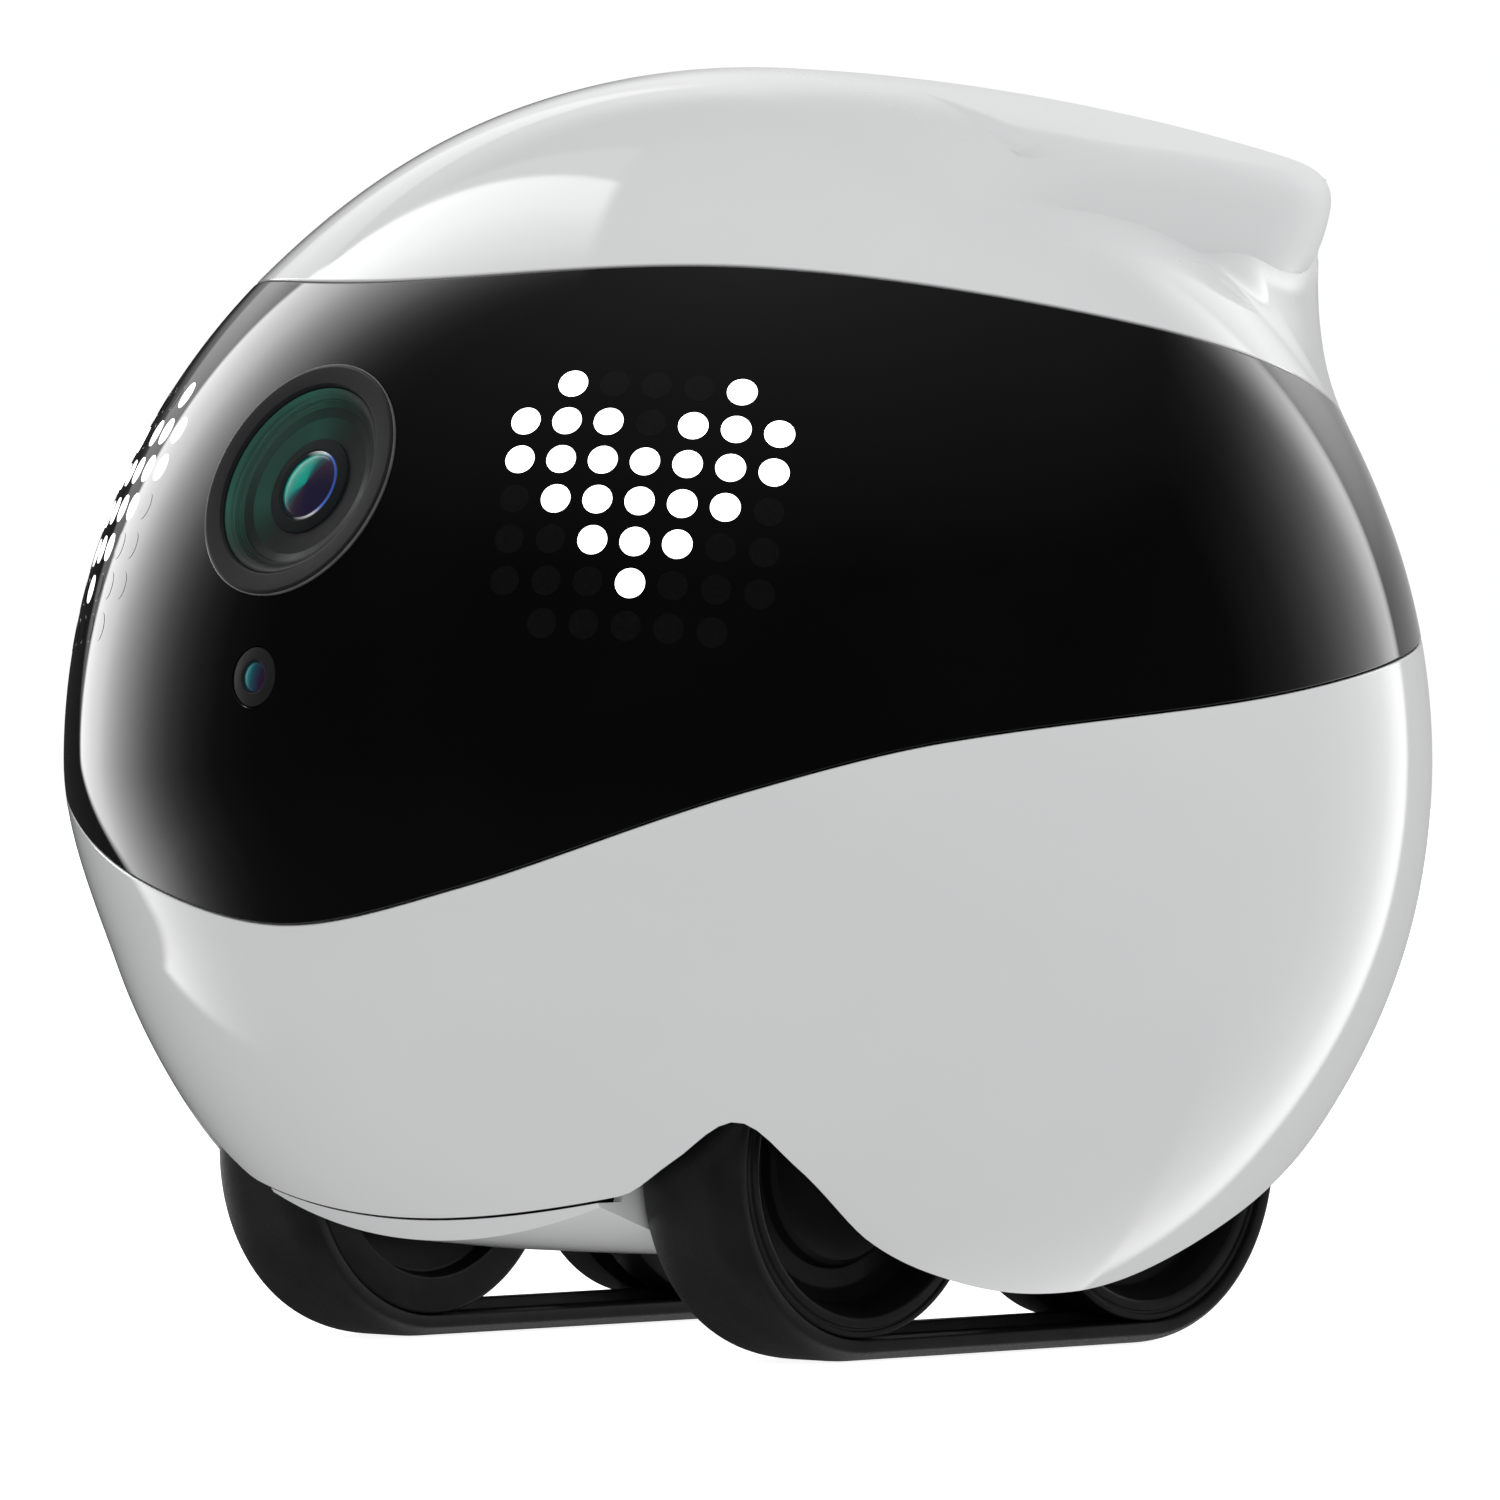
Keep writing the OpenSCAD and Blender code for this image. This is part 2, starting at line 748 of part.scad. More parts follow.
module gear_outline(teeth, phase) {
    side = flank(teeth);
    points = [for (i = [0:teeth - 1]) each concat(
        [for (k = [0:len(side) - 1]) [side[k][0], phase + 360 * i / teeth - side[k][1]]],
        [for (k = [len(side) - 1:-1:0]) [side[k][0], phase + 360 * i / teeth + side[k][1]]])];
    polygon([for (q = points) q[0] * [cos(q[1]), sin(q[1])]]);
}

// Moves children from the drive plane to their place on a side
module across(side, at, x) {
    on_side(side)
        translate([x, at[0], at[1]])
            rotate([90, 0, 90])
                children();
}

module drilled(r, h) {
    difference() {
        children();
        translate([0, 0, -1]) cylinder(r = r, h = h + 2);
    }
}

module output_gear(side) {
    color(nylon)
        across(side, output_at, output_x)
            drilled(drive_axle_r, output_w)
                linear_extrude(output_w)
                    gear_outline(output_teeth, to_reduction);
}

module reduction_gear(side) {
    hub = output_x - large_x - large_w;
    color(nylon)
        across(side, reduction_at, large_x)
            drilled(gear_pin_r + running_gap, 5)
                union() {
                    linear_extrude(large_w)
                        gear_outline(large_teeth, to_pinion);
                    translate([0, 0, large_w]) cylinder(r = 1.9, h = hub);
                    translate([0, 0, large_w + hub])
                        linear_extrude(output_w)
                            gear_outline(small_teeth, to_reduction + 180 + 180 / small_teeth);
                }
}

module pinion(side) {
    color("#c9a35a")
        across(side, pinion_at, plate_x + plate_t + 0.2) {
            translate([0, 0, 0.2])
                linear_extrude(large_w)
                    gear_outline(pinion_teeth, to_pinion + 180 + 180 / pinion_teeth);
            translate([0, 0, -6]) cylinder(r = shaft_r, h = 8.1);
        }
}

module drive_axle(side) {
    color(steel)
        across(side, output_at, output_x)
            cylinder(r = drive_axle_r, h = gauge / 2 + 0.8 - output_x);
}

module motor(side) {
    length = plate_x - motor_x;
    color(steel)
        across(side, pinion_at, motor_x)
            difference() {
                union() {
                    intersection() {
                        cylinder(r = motor_r, h = length);
                        translate([-motor_r, -motor_flat, 0])
                            cube([2 * motor_r, 2 * motor_flat, length]);
                    }
                    translate([0, 0, length]) cylinder(r = motor_nose_r, h = plate_t);
                    for (x = [-2, 2])
                        translate([x - 0.6, -0.3, -1.5]) cube([1.2, 0.6, 1.5]);
                }
                translate([0, 0, length - shaft_depth])
                    cylinder(r = shaft_r + running_gap, h = shaft_depth + 2);
            }
}

plate_posts = [[2, 18], [22, 25.5], [23.5, 17]];

module gear_plate(side) {
    color("#c5c7cb")
        across(side, [0, 0], plate_x)
            union() {
                linear_extrude(plate_t)
                    difference() {
                        hull()
                            for (p = concat(plate_posts, [pinion_at, reduction_at]))
                                translate(p) circle(r = 2.2);
                        translate(pinion_at) circle(r = motor_nose_r + running_gap);
                        translate(reduction_at) circle(r = gear_pin_r);
                    }
                for (p = plate_posts)
                    translate([p[0], p[1], plate_t])
                        cylinder(r = 1.4, h = well_wall_x - plate_x - plate_t);
            }
}

module gear_pins() {
    color(steel)
        for (side = [-1, 1])
            across(side, reduction_at, plate_x)
                cylinder(r = gear_pin_r, h = well_wall_x - plate_x);
}

module idle_axles() {
    color(steel)
        for (side = [-1, 1])
            across(side, [-axle_y, axle_z], 9.5)
                cylinder(r = idle_axle_r, h = gauge / 2 + 0.5 - 9.5);
}

module axle_bushes() {
    color("#b08a4a")
        for (side = [-1, 1])
            across(side, output_at, output_x + output_w + 0.2)
                drilled(drive_axle_r + running_gap, 5)
                    cylinder(r = bush_r, h = bush_tip - output_x - output_w - 0.2);
}

// ---- Boards, battery and small parts on the deck ----

battery_low = deck_z + deck_t + rail_h;
board_r = 44.6;
board_w = 54;
board_front_y = -17;

module main_board() {
    color(board_green)
        translate([0, 0, board_top - board_t])
            linear_extrude(board_t)
                difference() {
                    intersection() {
                        circle(r = board_r, $fn = 96);
                        translate([-board_w / 2, board_front_y]) square([board_w, 70]);
                    }
                    for (x = [-post_x, post_x], y = [-post_y, post_y])
                        translate([x, y]) circle(r = 1.1);
                    translate([button_x - 3.4, 41]) square([6.8, 5]);
                }
}

module shield_can() {
    color(steel)
        translate([-14, -6, board_top])
            linear_extrude(2.2)
                offset(r = 1) offset(delta = -1) square([24, 20]);
}

module board_screws() {
    color(steel)
        for (x = [-post_x, post_x], y = [-post_y, post_y])
            translate([x, y, board_top])
                rotate([180, 0, 0])
                    screw(head_r = 1.9, head_h = 1, shank_r = board_screw_r, length = 5.5);
}

module battery() {
    width = 38;
    length = 46;
    height = 9;
    color("#5b6470")
        translate([0, length / 2, battery_low + height / 2])
            rotate([90, 0, 0])
                linear_extrude(length)
                    hull()
                        for (side = [-1, 1])
                            translate([side * (width - height) / 2, 0])
                                circle(r = height / 2, $fn = 32);
}

module speaker() {
    color("#38383c")
        translate([0, speaker_y, deck_z + deck_t])
            rotate_extrude()
                polygon([[0, 1], [3, 0.4], [6.6, 0.4], [7.4, 0], [9.2, 0], [9.2, 1.6], [8, 2.6],
                    [6, 2.6], [6, 4.6], [0, 4.6]]);
}

module microphone() {
    color(gold)
        translate([16, -16.5, board_top])
            cube([3.6, 2.8, 1.1]);
}

module antenna() {
    color("#8a6a3a")
        translate([25.6, -6, board_top])
            cube([0.8, 22, 7]);
}

module usb_socket() {
    length = 7.6;
    socket_wall = 0.3;
    color(steel)
        translate([0, socket_mouth_y, socket_z])
            rotate([90, 0, 0])
                difference() {
                    linear_extrude(length)
                        offset(r = socket_round)
                            square(socket_core, center = true);
                    translate([0, 0, -1])
                        linear_extrude(length - 0.5)
                            difference() {
                                offset(r = socket_round - socket_wall)
                                    square(socket_core, center = true);
                                square([6, 0.7], center = true);
                            }
                }
}

module card_slot() {
    length = 11;
    color(steel)
        translate([card_x - card_w / 2, card_mouth_y - length, board_top])
            difference() {
                cube([card_w, length, 1.7]);
                translate([0.3, 1, 0.35]) cube([card_w - 0.6, length, 1]);
            }
}

button_face = 46.9;
button_back = 42.6;
flange_r = 2.9;
flange_t = 0.6;

module power_button() {
    color(black)
        translate([button_x, 0, button_z])
            rotate([-90, 0, 0])
                rotate_extrude()
                    polygon([[0, button_back], [flange_r, button_back],
                        [flange_r, button_back + flange_t], [button_r, button_back + flange_t],
                        [button_r, button_face - 0.4], [button_r - 0.4, button_face],
                        [0, button_face - 0.15]]);
}

module button_switch() {
    switch_front = 40.4;
    color(dark)
        translate([button_x, 0, 0]) {
            translate([-2.6, switch_front - 3, board_top]) cube([5.2, 3, 3.6]);
            translate([0, switch_front, button_z])
                rotate([-90, 0, 0])
                    cylinder(r = 0.9, h = 1.7);
        }
}

top_shell();
visor();
lower_shell();
bottom_cover();
chassis();
camera_ring();
camera_window();
lens_barrel();
front_lens_element();
camera_holder();
camera_board();
sensor_window();
sensor_module();
eye_grid(1);  // left_eye_grid
eye_grid(-1);  // right_eye_grid
eye_lights(1);  // left_eye_lights
eye_lights(-1);  // right_eye_lights
eye_board(1);  // left_eye_board
eye_board(-1);  // right_eye_board
main_board();
shield_can();
board_screws();
battery();
speaker();
microphone();
antenna();
usb_socket();
card_slot();
power_button();
button_switch();
charging_contacts();
cover_screws();
gear_pins();
idle_axles();
axle_bushes();
motor(1);  // left_motor
motor(-1);  // right_motor
gear_plate(1);  // left_gear_plate
gear_plate(-1);  // right_gear_plate
pinion(1);  // left_pinion
pinion(-1);  // right_pinion
reduction_gear(1);  // left_reduction_gear
reduction_gear(-1);  // right_reduction_gear
output_gear(1);  // left_output_gear
output_gear(-1);  // right_output_gear
drive_axle(1);  // left_drive_axle
drive_axle(-1);  // right_drive_axle
drive_wheel(1);  // left_drive_wheel
drive_wheel(-1);  // right_drive_wheel
idle_wheel(1);  // left_idle_wheel
idle_wheel(-1);  // right_idle_wheel
belt(1);  // left_belt
belt(-1);  // right_belt
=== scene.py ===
"""Looks of a ball-shaped camera robot on two rubber tracks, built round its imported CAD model.

Every object is in metres and in the CAD frame: +Z up, the robot looks along -Y, +X is its own left side.
"""

import json
import math

import bpy
import numpy as np
from mathutils import Matrix, Vector


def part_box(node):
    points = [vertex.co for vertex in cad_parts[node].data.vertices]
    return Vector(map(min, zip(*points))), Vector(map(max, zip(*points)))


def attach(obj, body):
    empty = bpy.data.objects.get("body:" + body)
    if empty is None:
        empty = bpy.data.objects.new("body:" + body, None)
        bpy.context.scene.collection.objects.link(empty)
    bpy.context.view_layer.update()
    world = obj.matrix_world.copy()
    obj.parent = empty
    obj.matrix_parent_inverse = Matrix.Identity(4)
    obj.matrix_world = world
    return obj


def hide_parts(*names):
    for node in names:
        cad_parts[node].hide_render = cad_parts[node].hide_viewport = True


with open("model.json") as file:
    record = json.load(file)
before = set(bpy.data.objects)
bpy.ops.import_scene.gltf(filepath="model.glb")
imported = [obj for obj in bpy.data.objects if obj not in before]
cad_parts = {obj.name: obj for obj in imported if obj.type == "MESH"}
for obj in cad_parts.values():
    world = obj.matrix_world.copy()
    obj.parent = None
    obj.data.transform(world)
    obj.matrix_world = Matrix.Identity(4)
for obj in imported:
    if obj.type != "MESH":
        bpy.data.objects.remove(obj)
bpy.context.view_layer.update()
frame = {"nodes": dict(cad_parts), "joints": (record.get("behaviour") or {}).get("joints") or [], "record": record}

NODES = frame["nodes"]
JOINTS = {j["name"]: j for j in frame["joints"]}
MM = 0.001

# ---- The part's own measures, in millimetres and degrees, as in part.scad ----

BALL_R = 50.0
WALL = 1.6
SEAM = 0.12
BALL_Z = 42.3
CENTRE = Vector((0, 0, BALL_Z * MM))
SKIN_CLEAR = 0.04

# The crest's cap: its height, how fast its top falls off, its outline from above, how its side curls
# in, the height where it's widest, and the rounding of its top edge. Lengths are in ball radii.
CAP_HEIGHT, CAP_FALL_SIDE, CAP_FALL_BACK, CAP_FALL_FRONT = 1.0115, 0.3491, 0.1107, 0.45
CAP_HALF_WIDTH, CAP_BACK, CAP_FRONT, CAP_SQUARE = 0.6275, 0.8337, 0.72, 3.9
CAP_ROLL, CAP_ROLL_Z = 2.339, 0.856
CAP_ROUND, CAP_FRONT_ROUND = 0.0572, 0.2
CAP_START, CAP_DEPTH = -0.22, 0.30

# The neck under the cap: its outline, its height and lean, and its flare at the rear. FAR_OFF is a
# reach that stands for no limit
NECK_HALF_WIDTH, NECK_BACK, NECK_FRONT, NECK_SQUARE = 0.5504, 0.8661, 0.35, 3.69
NECK_LEAN, NECK_Z, NECK_FLARE = 0.2026, 0.7363, 0.2786
CROWN_RISE, CROWN_Z = 0.011, 0.72
CHIN_TUCK, SKIRT_TUCK = 0.04, 0.012
FAR_OFF = 3

CAMERA_TILT = 23.7
SENSOR_TILT = 6.9
EYE_TURN, EYE_TILT, EYE_ROLL = 34.9, 21.2, 3.4
LED_PITCH = 2.98

VISOR_TOP = [(0, 34), (45, 34.6), (90, 30.8), (135, 25.5), (180, 22.5)]
VISOR_BOTTOM = [(0, -11.4), (20, -8.5), (44, -1.9), (60, 1.5), (90, 4.5), (135, 9.2), (180, 10.5)]
SKIRT = [(0, -32.4), (30, -30.4), (36.5, -27.8), (43, -25), (49, -28.2), (58, -33.6), (70, -36.6),
         (84, -37.8), (98, -36.8), (114, -32.7), (124, -29.2), (135, -25), (143, -27), (152, -30.2),
         (180, -32.4)]


# ---- The ball's outer surface with its crest ----

def ease(t):
    t = np.clip(t, 0, 1)
    return t * t * (3 - 2 * t)


def soft_max(a, b, k):
    h = np.maximum(k - np.abs(a - b), 0)
    return np.maximum(a, b) + h * h / (4 * k)


def plan_reach(dx, dy, half_width, back, front, square):
    """Distance from the upright axis to a rounded outline, along the level part of a direction."""
    level = np.maximum(np.hypot(dx, dy), 1e-6)
    across = np.abs(dx) / level / half_width
    along = np.where(dy > 0, dy / back, -dy / front) / level
    return np.minimum((across ** square + along ** square) ** (-1 / square), 1.5)


def cap_top(dx, dy, dz):
    """Reach of the domed top of the crest's cap."""
    fall = CAP_FALL_SIDE * dx * dx + np.where(dy > 0, CAP_FALL_BACK, CAP_FALL_FRONT) * dy * dy
    fall = np.maximum(fall, 1e-6)
    return np.minimum((-dz + np.sqrt(dz * dz + 4 * fall * CAP_HEIGHT)) / (2 * fall), FAR_OFF)


def cap_reach(dx, dy, dz):
    """Reach of the crest's cap: its top, and its side that curls in, rounder towards the front."""
    plan = plan_reach(dx, dy, CAP_HALF_WIDTH, CAP_BACK, CAP_FRONT, CAP_SQUARE)
    a = plan * CAP_ROLL * dz * dz
    b = np.hypot(dx, dy) - 2 * plan * CAP_ROLL * dz * CAP_ROLL_Z
    c = plan * (CAP_ROLL * CAP_ROLL_Z ** 2 - 1)
    root = b * b - 4 * a * c
    side = np.minimum((-b + np.sqrt(np.maximum(root, 0))) / np.maximum(2 * a, 1e-6), FAR_OFF)
    return -soft_max(-cap_top(dx, dy, dz), -np.where(root > 0, side, 0),
                     CAP_ROUND + CAP_FRONT_ROUND * ease((0.15 - dy) / 0.4))


def base_reach(dx, dy, dz):
    """Reach of the ball with the neck under the cap, held just inside the cap at its rear corners."""
    elev = np.degrees(np.arcsin(np.clip(dz, -1, 1)))
    level = np.maximum(np.hypot(dx, dy), 1e-6)
    plan = plan_reach(dx, dy, NECK_HALF_WIDTH, NECK_BACK, NECK_FRONT, NECK_SQUARE)
    neck = (plan - NECK_LEAN * NECK_Z) / np.maximum(level - NECK_LEAN * dz, 0.05)
    neck = np.minimum(np.minimum(neck, FAR_OFF), cap_top(dx, dy, dz) - 0.02) - 0.4 * ease(-dy / 0.2)
    flare = NECK_FLARE * ease((dy / level - 0.32) / 0.30)
    crown = 1 + CROWN_RISE * ease((dz - CROWN_Z) / (1 - CROWN_Z))
    soft = 0.006 + 1.5 * flare * ease((60 - elev) / 15) * ease((elev - 8) / 16)
    near = np.maximum(soft - np.abs(crown - neck), 0)
    base = np.maximum(crown, neck) + near ** 3 / (6 * soft ** 2)
    proud = np.maximum(base - cap_reach(dx, dy, dz) + 0.001, 0)
    corner = ease((dy / level - 0.50) / 0.12) * ease((0.88 - dy / level) / 0.03)
    return base - proud * corner * ease((base * dz - 0.74) / 0.02)


def body_r(dx, dy, dz):
    """Radius in mm of the outer surface along a unit direction from the ball's centre."""
    elev = np.degrees(np.arcsin(np.clip(dz, -1, 1)))
    forward = -dy / np.maximum(np.hypot(dx, dy), 1e-6)
    tuck = (CHIN_TUCK * np.maximum(forward, 0) * ease(-elev / 18)
            + SKIRT_TUCK * np.abs(forward) * ease((-12 - elev) / 25))
    base = base_reach(dx, dy, dz)
    rise = soft_max(base, cap_reach(dx, dy, dz), 0.0002 + 0.008 * ease((0.1 - dy) / 0.2)) - base
    return BALL_R * (base + rise * ease((dy - CAP_START) / CAP_DEPTH) - tuck) - SKIN_CLEAR


def direction(turn, elev):
    t, e = np.radians(turn), np.radians(elev)
    return np.stack([np.cos(e) * np.sin(t), -np.cos(e) * np.cos(t), np.sin(e)], -1)


def radius_at(turn, elev):
    d = direction(turn, elev)
    return body_r(d[..., 0], d[..., 1], d[..., 2])


def on_ball(turn, elev):
    """Points of the outer surface, in mm from the ball's centre."""
    return direction(turn, elev) * radius_at(turn, elev)[..., None]


def outward(points):
    """Unit normals of the outer surface at points given in mm from the ball's centre."""
    def height(p):
        r = np.linalg.norm(p, axis=-1)
        d = p / r[..., None]
        return r - body_r(d[..., 0], d[..., 1], d[..., 2])
    step = 0.002
    grad = np.stack([height(points + step * a) - height(points - step * a) for a in np.eye(3)], -1)
    return grad / np.linalg.norm(grad, axis=-1)[..., None]


def edge_height(line, turn):
    """Height of an edge line at an angle, as a smooth curve through its points."""
    a = np.where(turn > 180, 360 - turn, turn)
    at = np.array([p[0] for p in line], float)
    z = np.array([p[1] for p in line], float)
    slope = np.zeros(len(line))
    slope[1:-1] = (z[2:] - z[:-2]) / (at[2:] - at[:-2])
    i = np.clip(np.searchsorted(at, a, side="right") - 1, 0, len(line) - 2)
    w = at[i + 1] - at[i]
    t = (a - at[i]) / w
    u = 1 - t
    return (z[i] * u * u * (1 + 2 * t) + z[i + 1] * t * t * (3 - 2 * t)
            + w * t * u * (slope[i] * u - slope[i + 1] * t))


def crease_elev(turn):
    """Elevation of the line where the cap meets the ball or its neck."""
    low, high = np.full(len(turn), 40.0), np.full(len(turn), 89.0)
    for _ in range(30):
        mid = (low + high) / 2
        d = direction(turn, mid).T
        above = cap_reach(*d) > base_reach(*d)
        low, high = np.where(above, low, mid), np.where(above, mid, high)
    return high


def even_rows(turn, start, end, count):
    """Elevations of rows from start to end, closer together where the surface bends."""
    share = np.linspace(0, 1, 500)[:, None]
    elev = start + (end - start) * share
    p = on_ball(np.broadcast_to(turn, elev.shape), elev)
    step = np.linalg.norm(np.diff(p, axis=0), axis=-1)
    way = np.diff(p, axis=0) / np.maximum(step, 1e-9)[..., None]
    bend = np.zeros_like(step)
    bend[1:] = np.linalg.norm(np.diff(way, axis=0), axis=-1)
    cost = np.concatenate([np.zeros((1, len(turn))), np.cumsum(step + 4 * bend, axis=0)])
    goal = np.linspace(0, 1, count + 1)
    rows = [np.interp(goal, cost[:, i] / cost[-1, i], elev[:, i]) for i in range(len(turn))]
    return np.array(rows).T


def elevation(turn, z):
    first = np.degrees(np.arcsin(z / BALL_R))
    return np.degrees(np.arcsin(z / radius_at(turn, first)))


def aimed(turn, tilt, roll=0.0):
    """Places local +Z on an axis through the ball's centre, pointing outwards."""
    return (Matrix.Translation(CENTRE) @ Matrix.Rotation(math.radians(turn), 4, "Z")
            @ Matrix.Rotation(math.radians(90 - tilt), 4, "X")
            @ Matrix.Rotation(math.radians(roll), 4, "Z"))


# ---- Making meshes ----

def add_object(name, mesh, body="root"):
    obj = bpy.data.objects.new(name, mesh)
    bpy.context.scene.collection.objects.link(obj)
    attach(obj, body)
    return obj


def mesh_of(name, points, faces, normals=None, sharp=None):
    """A mesh in metres from points in mm. normals: one per corner; sharp: angle that splits smoothing."""
    mesh = bpy.data.meshes.new(name)
    mesh.from_pydata((np.asarray(points, float) * MM).tolist(), [], faces)
    mesh.polygons.foreach_set("use_smooth", [True] * len(mesh.polygons))
    if sharp is not None:
        mesh.set_sharp_from_angle(angle=math.radians(sharp))
    if normals is not None:
        mesh.normals_split_custom_set(np.asarray(normals, float).tolist())
    mesh.update()
    return mesh


def strips(rings, closed):
    """Quads between rings of points, each ring as long as the others; a ring of one point is a pole."""
    points, faces, starts = [], [], []
    for ring in rings:
        starts.append(len(points))
        points.extend(ring)
    pairs = list(zip(range(len(rings) - 1), range(1, len(rings))))
    if closed:
        pairs.append((len(rings) - 1, 0))
    for a, b in pairs:
        n = max(len(rings[a]), len(rings[b]))
        for i in range(n):
            j = (i + 1) % n
            ring_a = (starts[a] + i, starts[a] + j) if len(rings[a]) > 1 else (starts[a],)
            ring_b = (starts[b] + j, starts[b] + i) if len(rings[b]) > 1 else (starts[b],)
            faces.append(ring_a + ring_b)
    return points, faces


def rounded(corners, steps=4):
    """A profile whose corners (x, y, radius) are rounded off; closed."""
    out = []
    n = len(corners)
    for i, corner in enumerate(corners):
        p = np.array(corner[:2], float)
        radius = corner[2] if len(corner) > 2 else 0
        if radius == 0:
            out.append(p)
            continue
        a = np.array(corners[i - 1][:2], float) - p
        b = np.array(corners[(i + 1) % n][:2], float) - p
        la, lb = np.linalg.norm(a), np.linalg.norm(b)
        a, b = a / la, b / lb
        half = math.acos(max(-1, min(1, float(a @ b)))) / 2
        cut = min(radius / math.tan(half), la * 0.49, lb * 0.49)
        start, end = p + a * cut, p + b * cut
        for k in range(steps + 1):
            t = k / steps
            out.append((1 - t) ** 2 * start + 2 * t * (1 - t) * p + t * t * end)
    return out


def turned(profile, matrix, segments=96, name="cut", sharp=None, closed=False):
    """A mesh made by turning a profile of (radius, height) in mm about local Z."""
    angle = np.arange(segments) * 2 * math.pi / segments
    rings = []
    for r, z in profile:
        if r < 1e-6:
            rings.append([(0, 0, z)])
        else:
            rings.append([(r * math.cos(a), r * math.sin(a), z) for a in angle])
    points, faces = strips(rings, closed)
    mesh = mesh_of(name, points, faces, sharp=sharp)
    mesh.transform(matrix)
    return mesh


def lathe(name, profile, matrix, segments=128, body="root", sharp=40, closed=True):
    """A turned piece; closed joins the profile's last point to its first."""
    mesh = turned(profile, matrix, segments, name, sharp, closed)
    mesh.update()
    return add_object(name, mesh, body)


def wear(obj, material, slot, *replaced):
    """Gives a piece its material and hides the CAD nodes that it stands for; slot is not used."""
    obj.data.materials.clear()
    obj.data.materials.append(material)
    if replaced:
        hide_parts(*replaced)
    return obj


# ---- Materials ----

def add_node(tree, kind, **settings):
    node = tree.nodes.new(kind)
    for key, value in settings.items():
        setattr(node, key, value)
    return node


def combine(tree, operation, *values):
    """A math node; each value is a number or another node's output."""
    node = add_node(tree, "ShaderNodeMath", operation=operation)
    for socket, value in zip(node.inputs, values):
        if isinstance(value, (int, float)):
            socket.default_value = value
        else:
            tree.links.new(value, socket)
    return node.outputs[0]


def combine_vectors(tree, operation, value, vector=None):
    node = add_node(tree, "ShaderNodeVectorMath", operation=operation)
    tree.links.new(value, node.inputs[0])
    if vector is not None:
        node.inputs[1].default_value = vector
    return node.outputs["Value" if operation == "DOT_PRODUCT" else "Vector"]


def mapped(tree, value, low, high, out=(0, 1), **settings):
    """Maps a value of low to high to 0 to 1, or to another range."""
    node = add_node(tree, "ShaderNodeMapRange", **settings)
    for name, number in zip(("From Min", "From Max", "To Min", "To Max"), (low, high, *out)):
        node.inputs[name].default_value = number
    tree.links.new(value, node.inputs["Value"])
    return node.outputs["Result"]


def ramp(tree, value, stops):
    """Colours along a value, linear between stops of (value, colour)."""
    node = add_node(tree, "ShaderNodeValToRGB")
    elements = node.color_ramp.elements
    while len(elements) < len(stops):
        elements.new(0.5)
    for element, (at, color) in zip(elements, stops):
        element.position = at
        element.color = (*color, 1)
    tree.links.new(value, node.inputs["Fac"])
    return node.outputs["Color"]


def shader_of(mat):
    return mat.node_tree.nodes["Principled BSDF"]


def principled(name, color, roughness, metallic=0.0, ior=1.5, coat=0.0, coat_roughness=0.03):
    mat = bpy.data.materials.new(name)
    mat.use_nodes = True
    inputs = shader_of(mat).inputs
    inputs["Base Color"].default_value = (*color, 1)
    inputs["Roughness"].default_value = roughness
    inputs["Metallic"].default_value = metallic
    inputs["IOR"].default_value = ior
    inputs["Coat Weight"].default_value = coat
    inputs["Coat Roughness"].default_value = coat_roughness
    return mat


def place_on(tree):
    """A point's place in the piece's own coordinates, in metres."""
    return add_node(tree, "ShaderNodeTexCoord").outputs["Object"]


def noise(mat, scale, detail=3.0, stretch=None):
    """A noise over the piece's own coordinates; scale is in cycles per metre."""
    tree = mat.node_tree
    tex = add_node(tree, "ShaderNodeTexNoise")
    tex.inputs["Scale"].default_value = scale
    tex.inputs["Detail"].default_value = detail
    place = place_on(tree)
    if stretch:
        mapping = add_node(tree, "ShaderNodeMapping")
        mapping.inputs["Scale"].default_value = stretch
        tree.links.new(place, mapping.inputs["Vector"])
        place = mapping.outputs["Vector"]
    tree.links.new(place, tex.inputs["Vector"])
    return tex.outputs["Fac"]


def spread(mat, value, low, high):
    """Maps the usual values of a noise to the range low to high."""
    return mapped(mat.node_tree, value, 0.3, 0.7, (low, high))


def tinted(mat, value, dark, light):
    """Colour between two tones by a value."""
    node = add_node(mat.node_tree, "ShaderNodeMix", data_type="RGBA")
    node.inputs[6].default_value = (*dark, 1)
    node.inputs[7].default_value = (*light, 1)
    mat.node_tree.links.new(spread(mat, value, 0, 1), node.inputs[0])
    mat.node_tree.links.new(node.outputs[2], shader_of(mat).inputs["Base Color"])


MADE = {}


def surface(name, dark, light, rough, scale, bump_mm, bump_scale, metallic=0.0, ior=1.5, coat=0.0,
            stretch=None):
    """A finish with a slight change of tone, uneven gloss and a fine surface relief."""
    mat = principled(name, light, rough[0], metallic, ior, coat)
    links, inputs = mat.node_tree.links, shader_of(mat).inputs
    tinted(mat, noise(mat, scale, 4.0), dark, light)
    fine = noise(mat, bump_scale, 3.0, stretch)
    links.new(spread(mat, fine, *rough), inputs["Roughness"])
    bump = add_node(mat.node_tree, "ShaderNodeBump")
    bump.inputs["Distance"].default_value = bump_mm * MM
    links.new(fine, bump.inputs["Height"])
    links.new(bump.outputs["Normal"], inputs["Normal"])
    MADE[name] = mat
    return mat


GLOSSY_WHITE = ((0.865, 0.87, 0.878), (0.885, 0.889, 0.895), (0.05, 0.075), 60, 0.0006, 900)
shell_white = surface("shell_white", *GLOSSY_WHITE, ior=1.47)
crest_white = surface("crest_white", *GLOSSY_WHITE, ior=1.47)


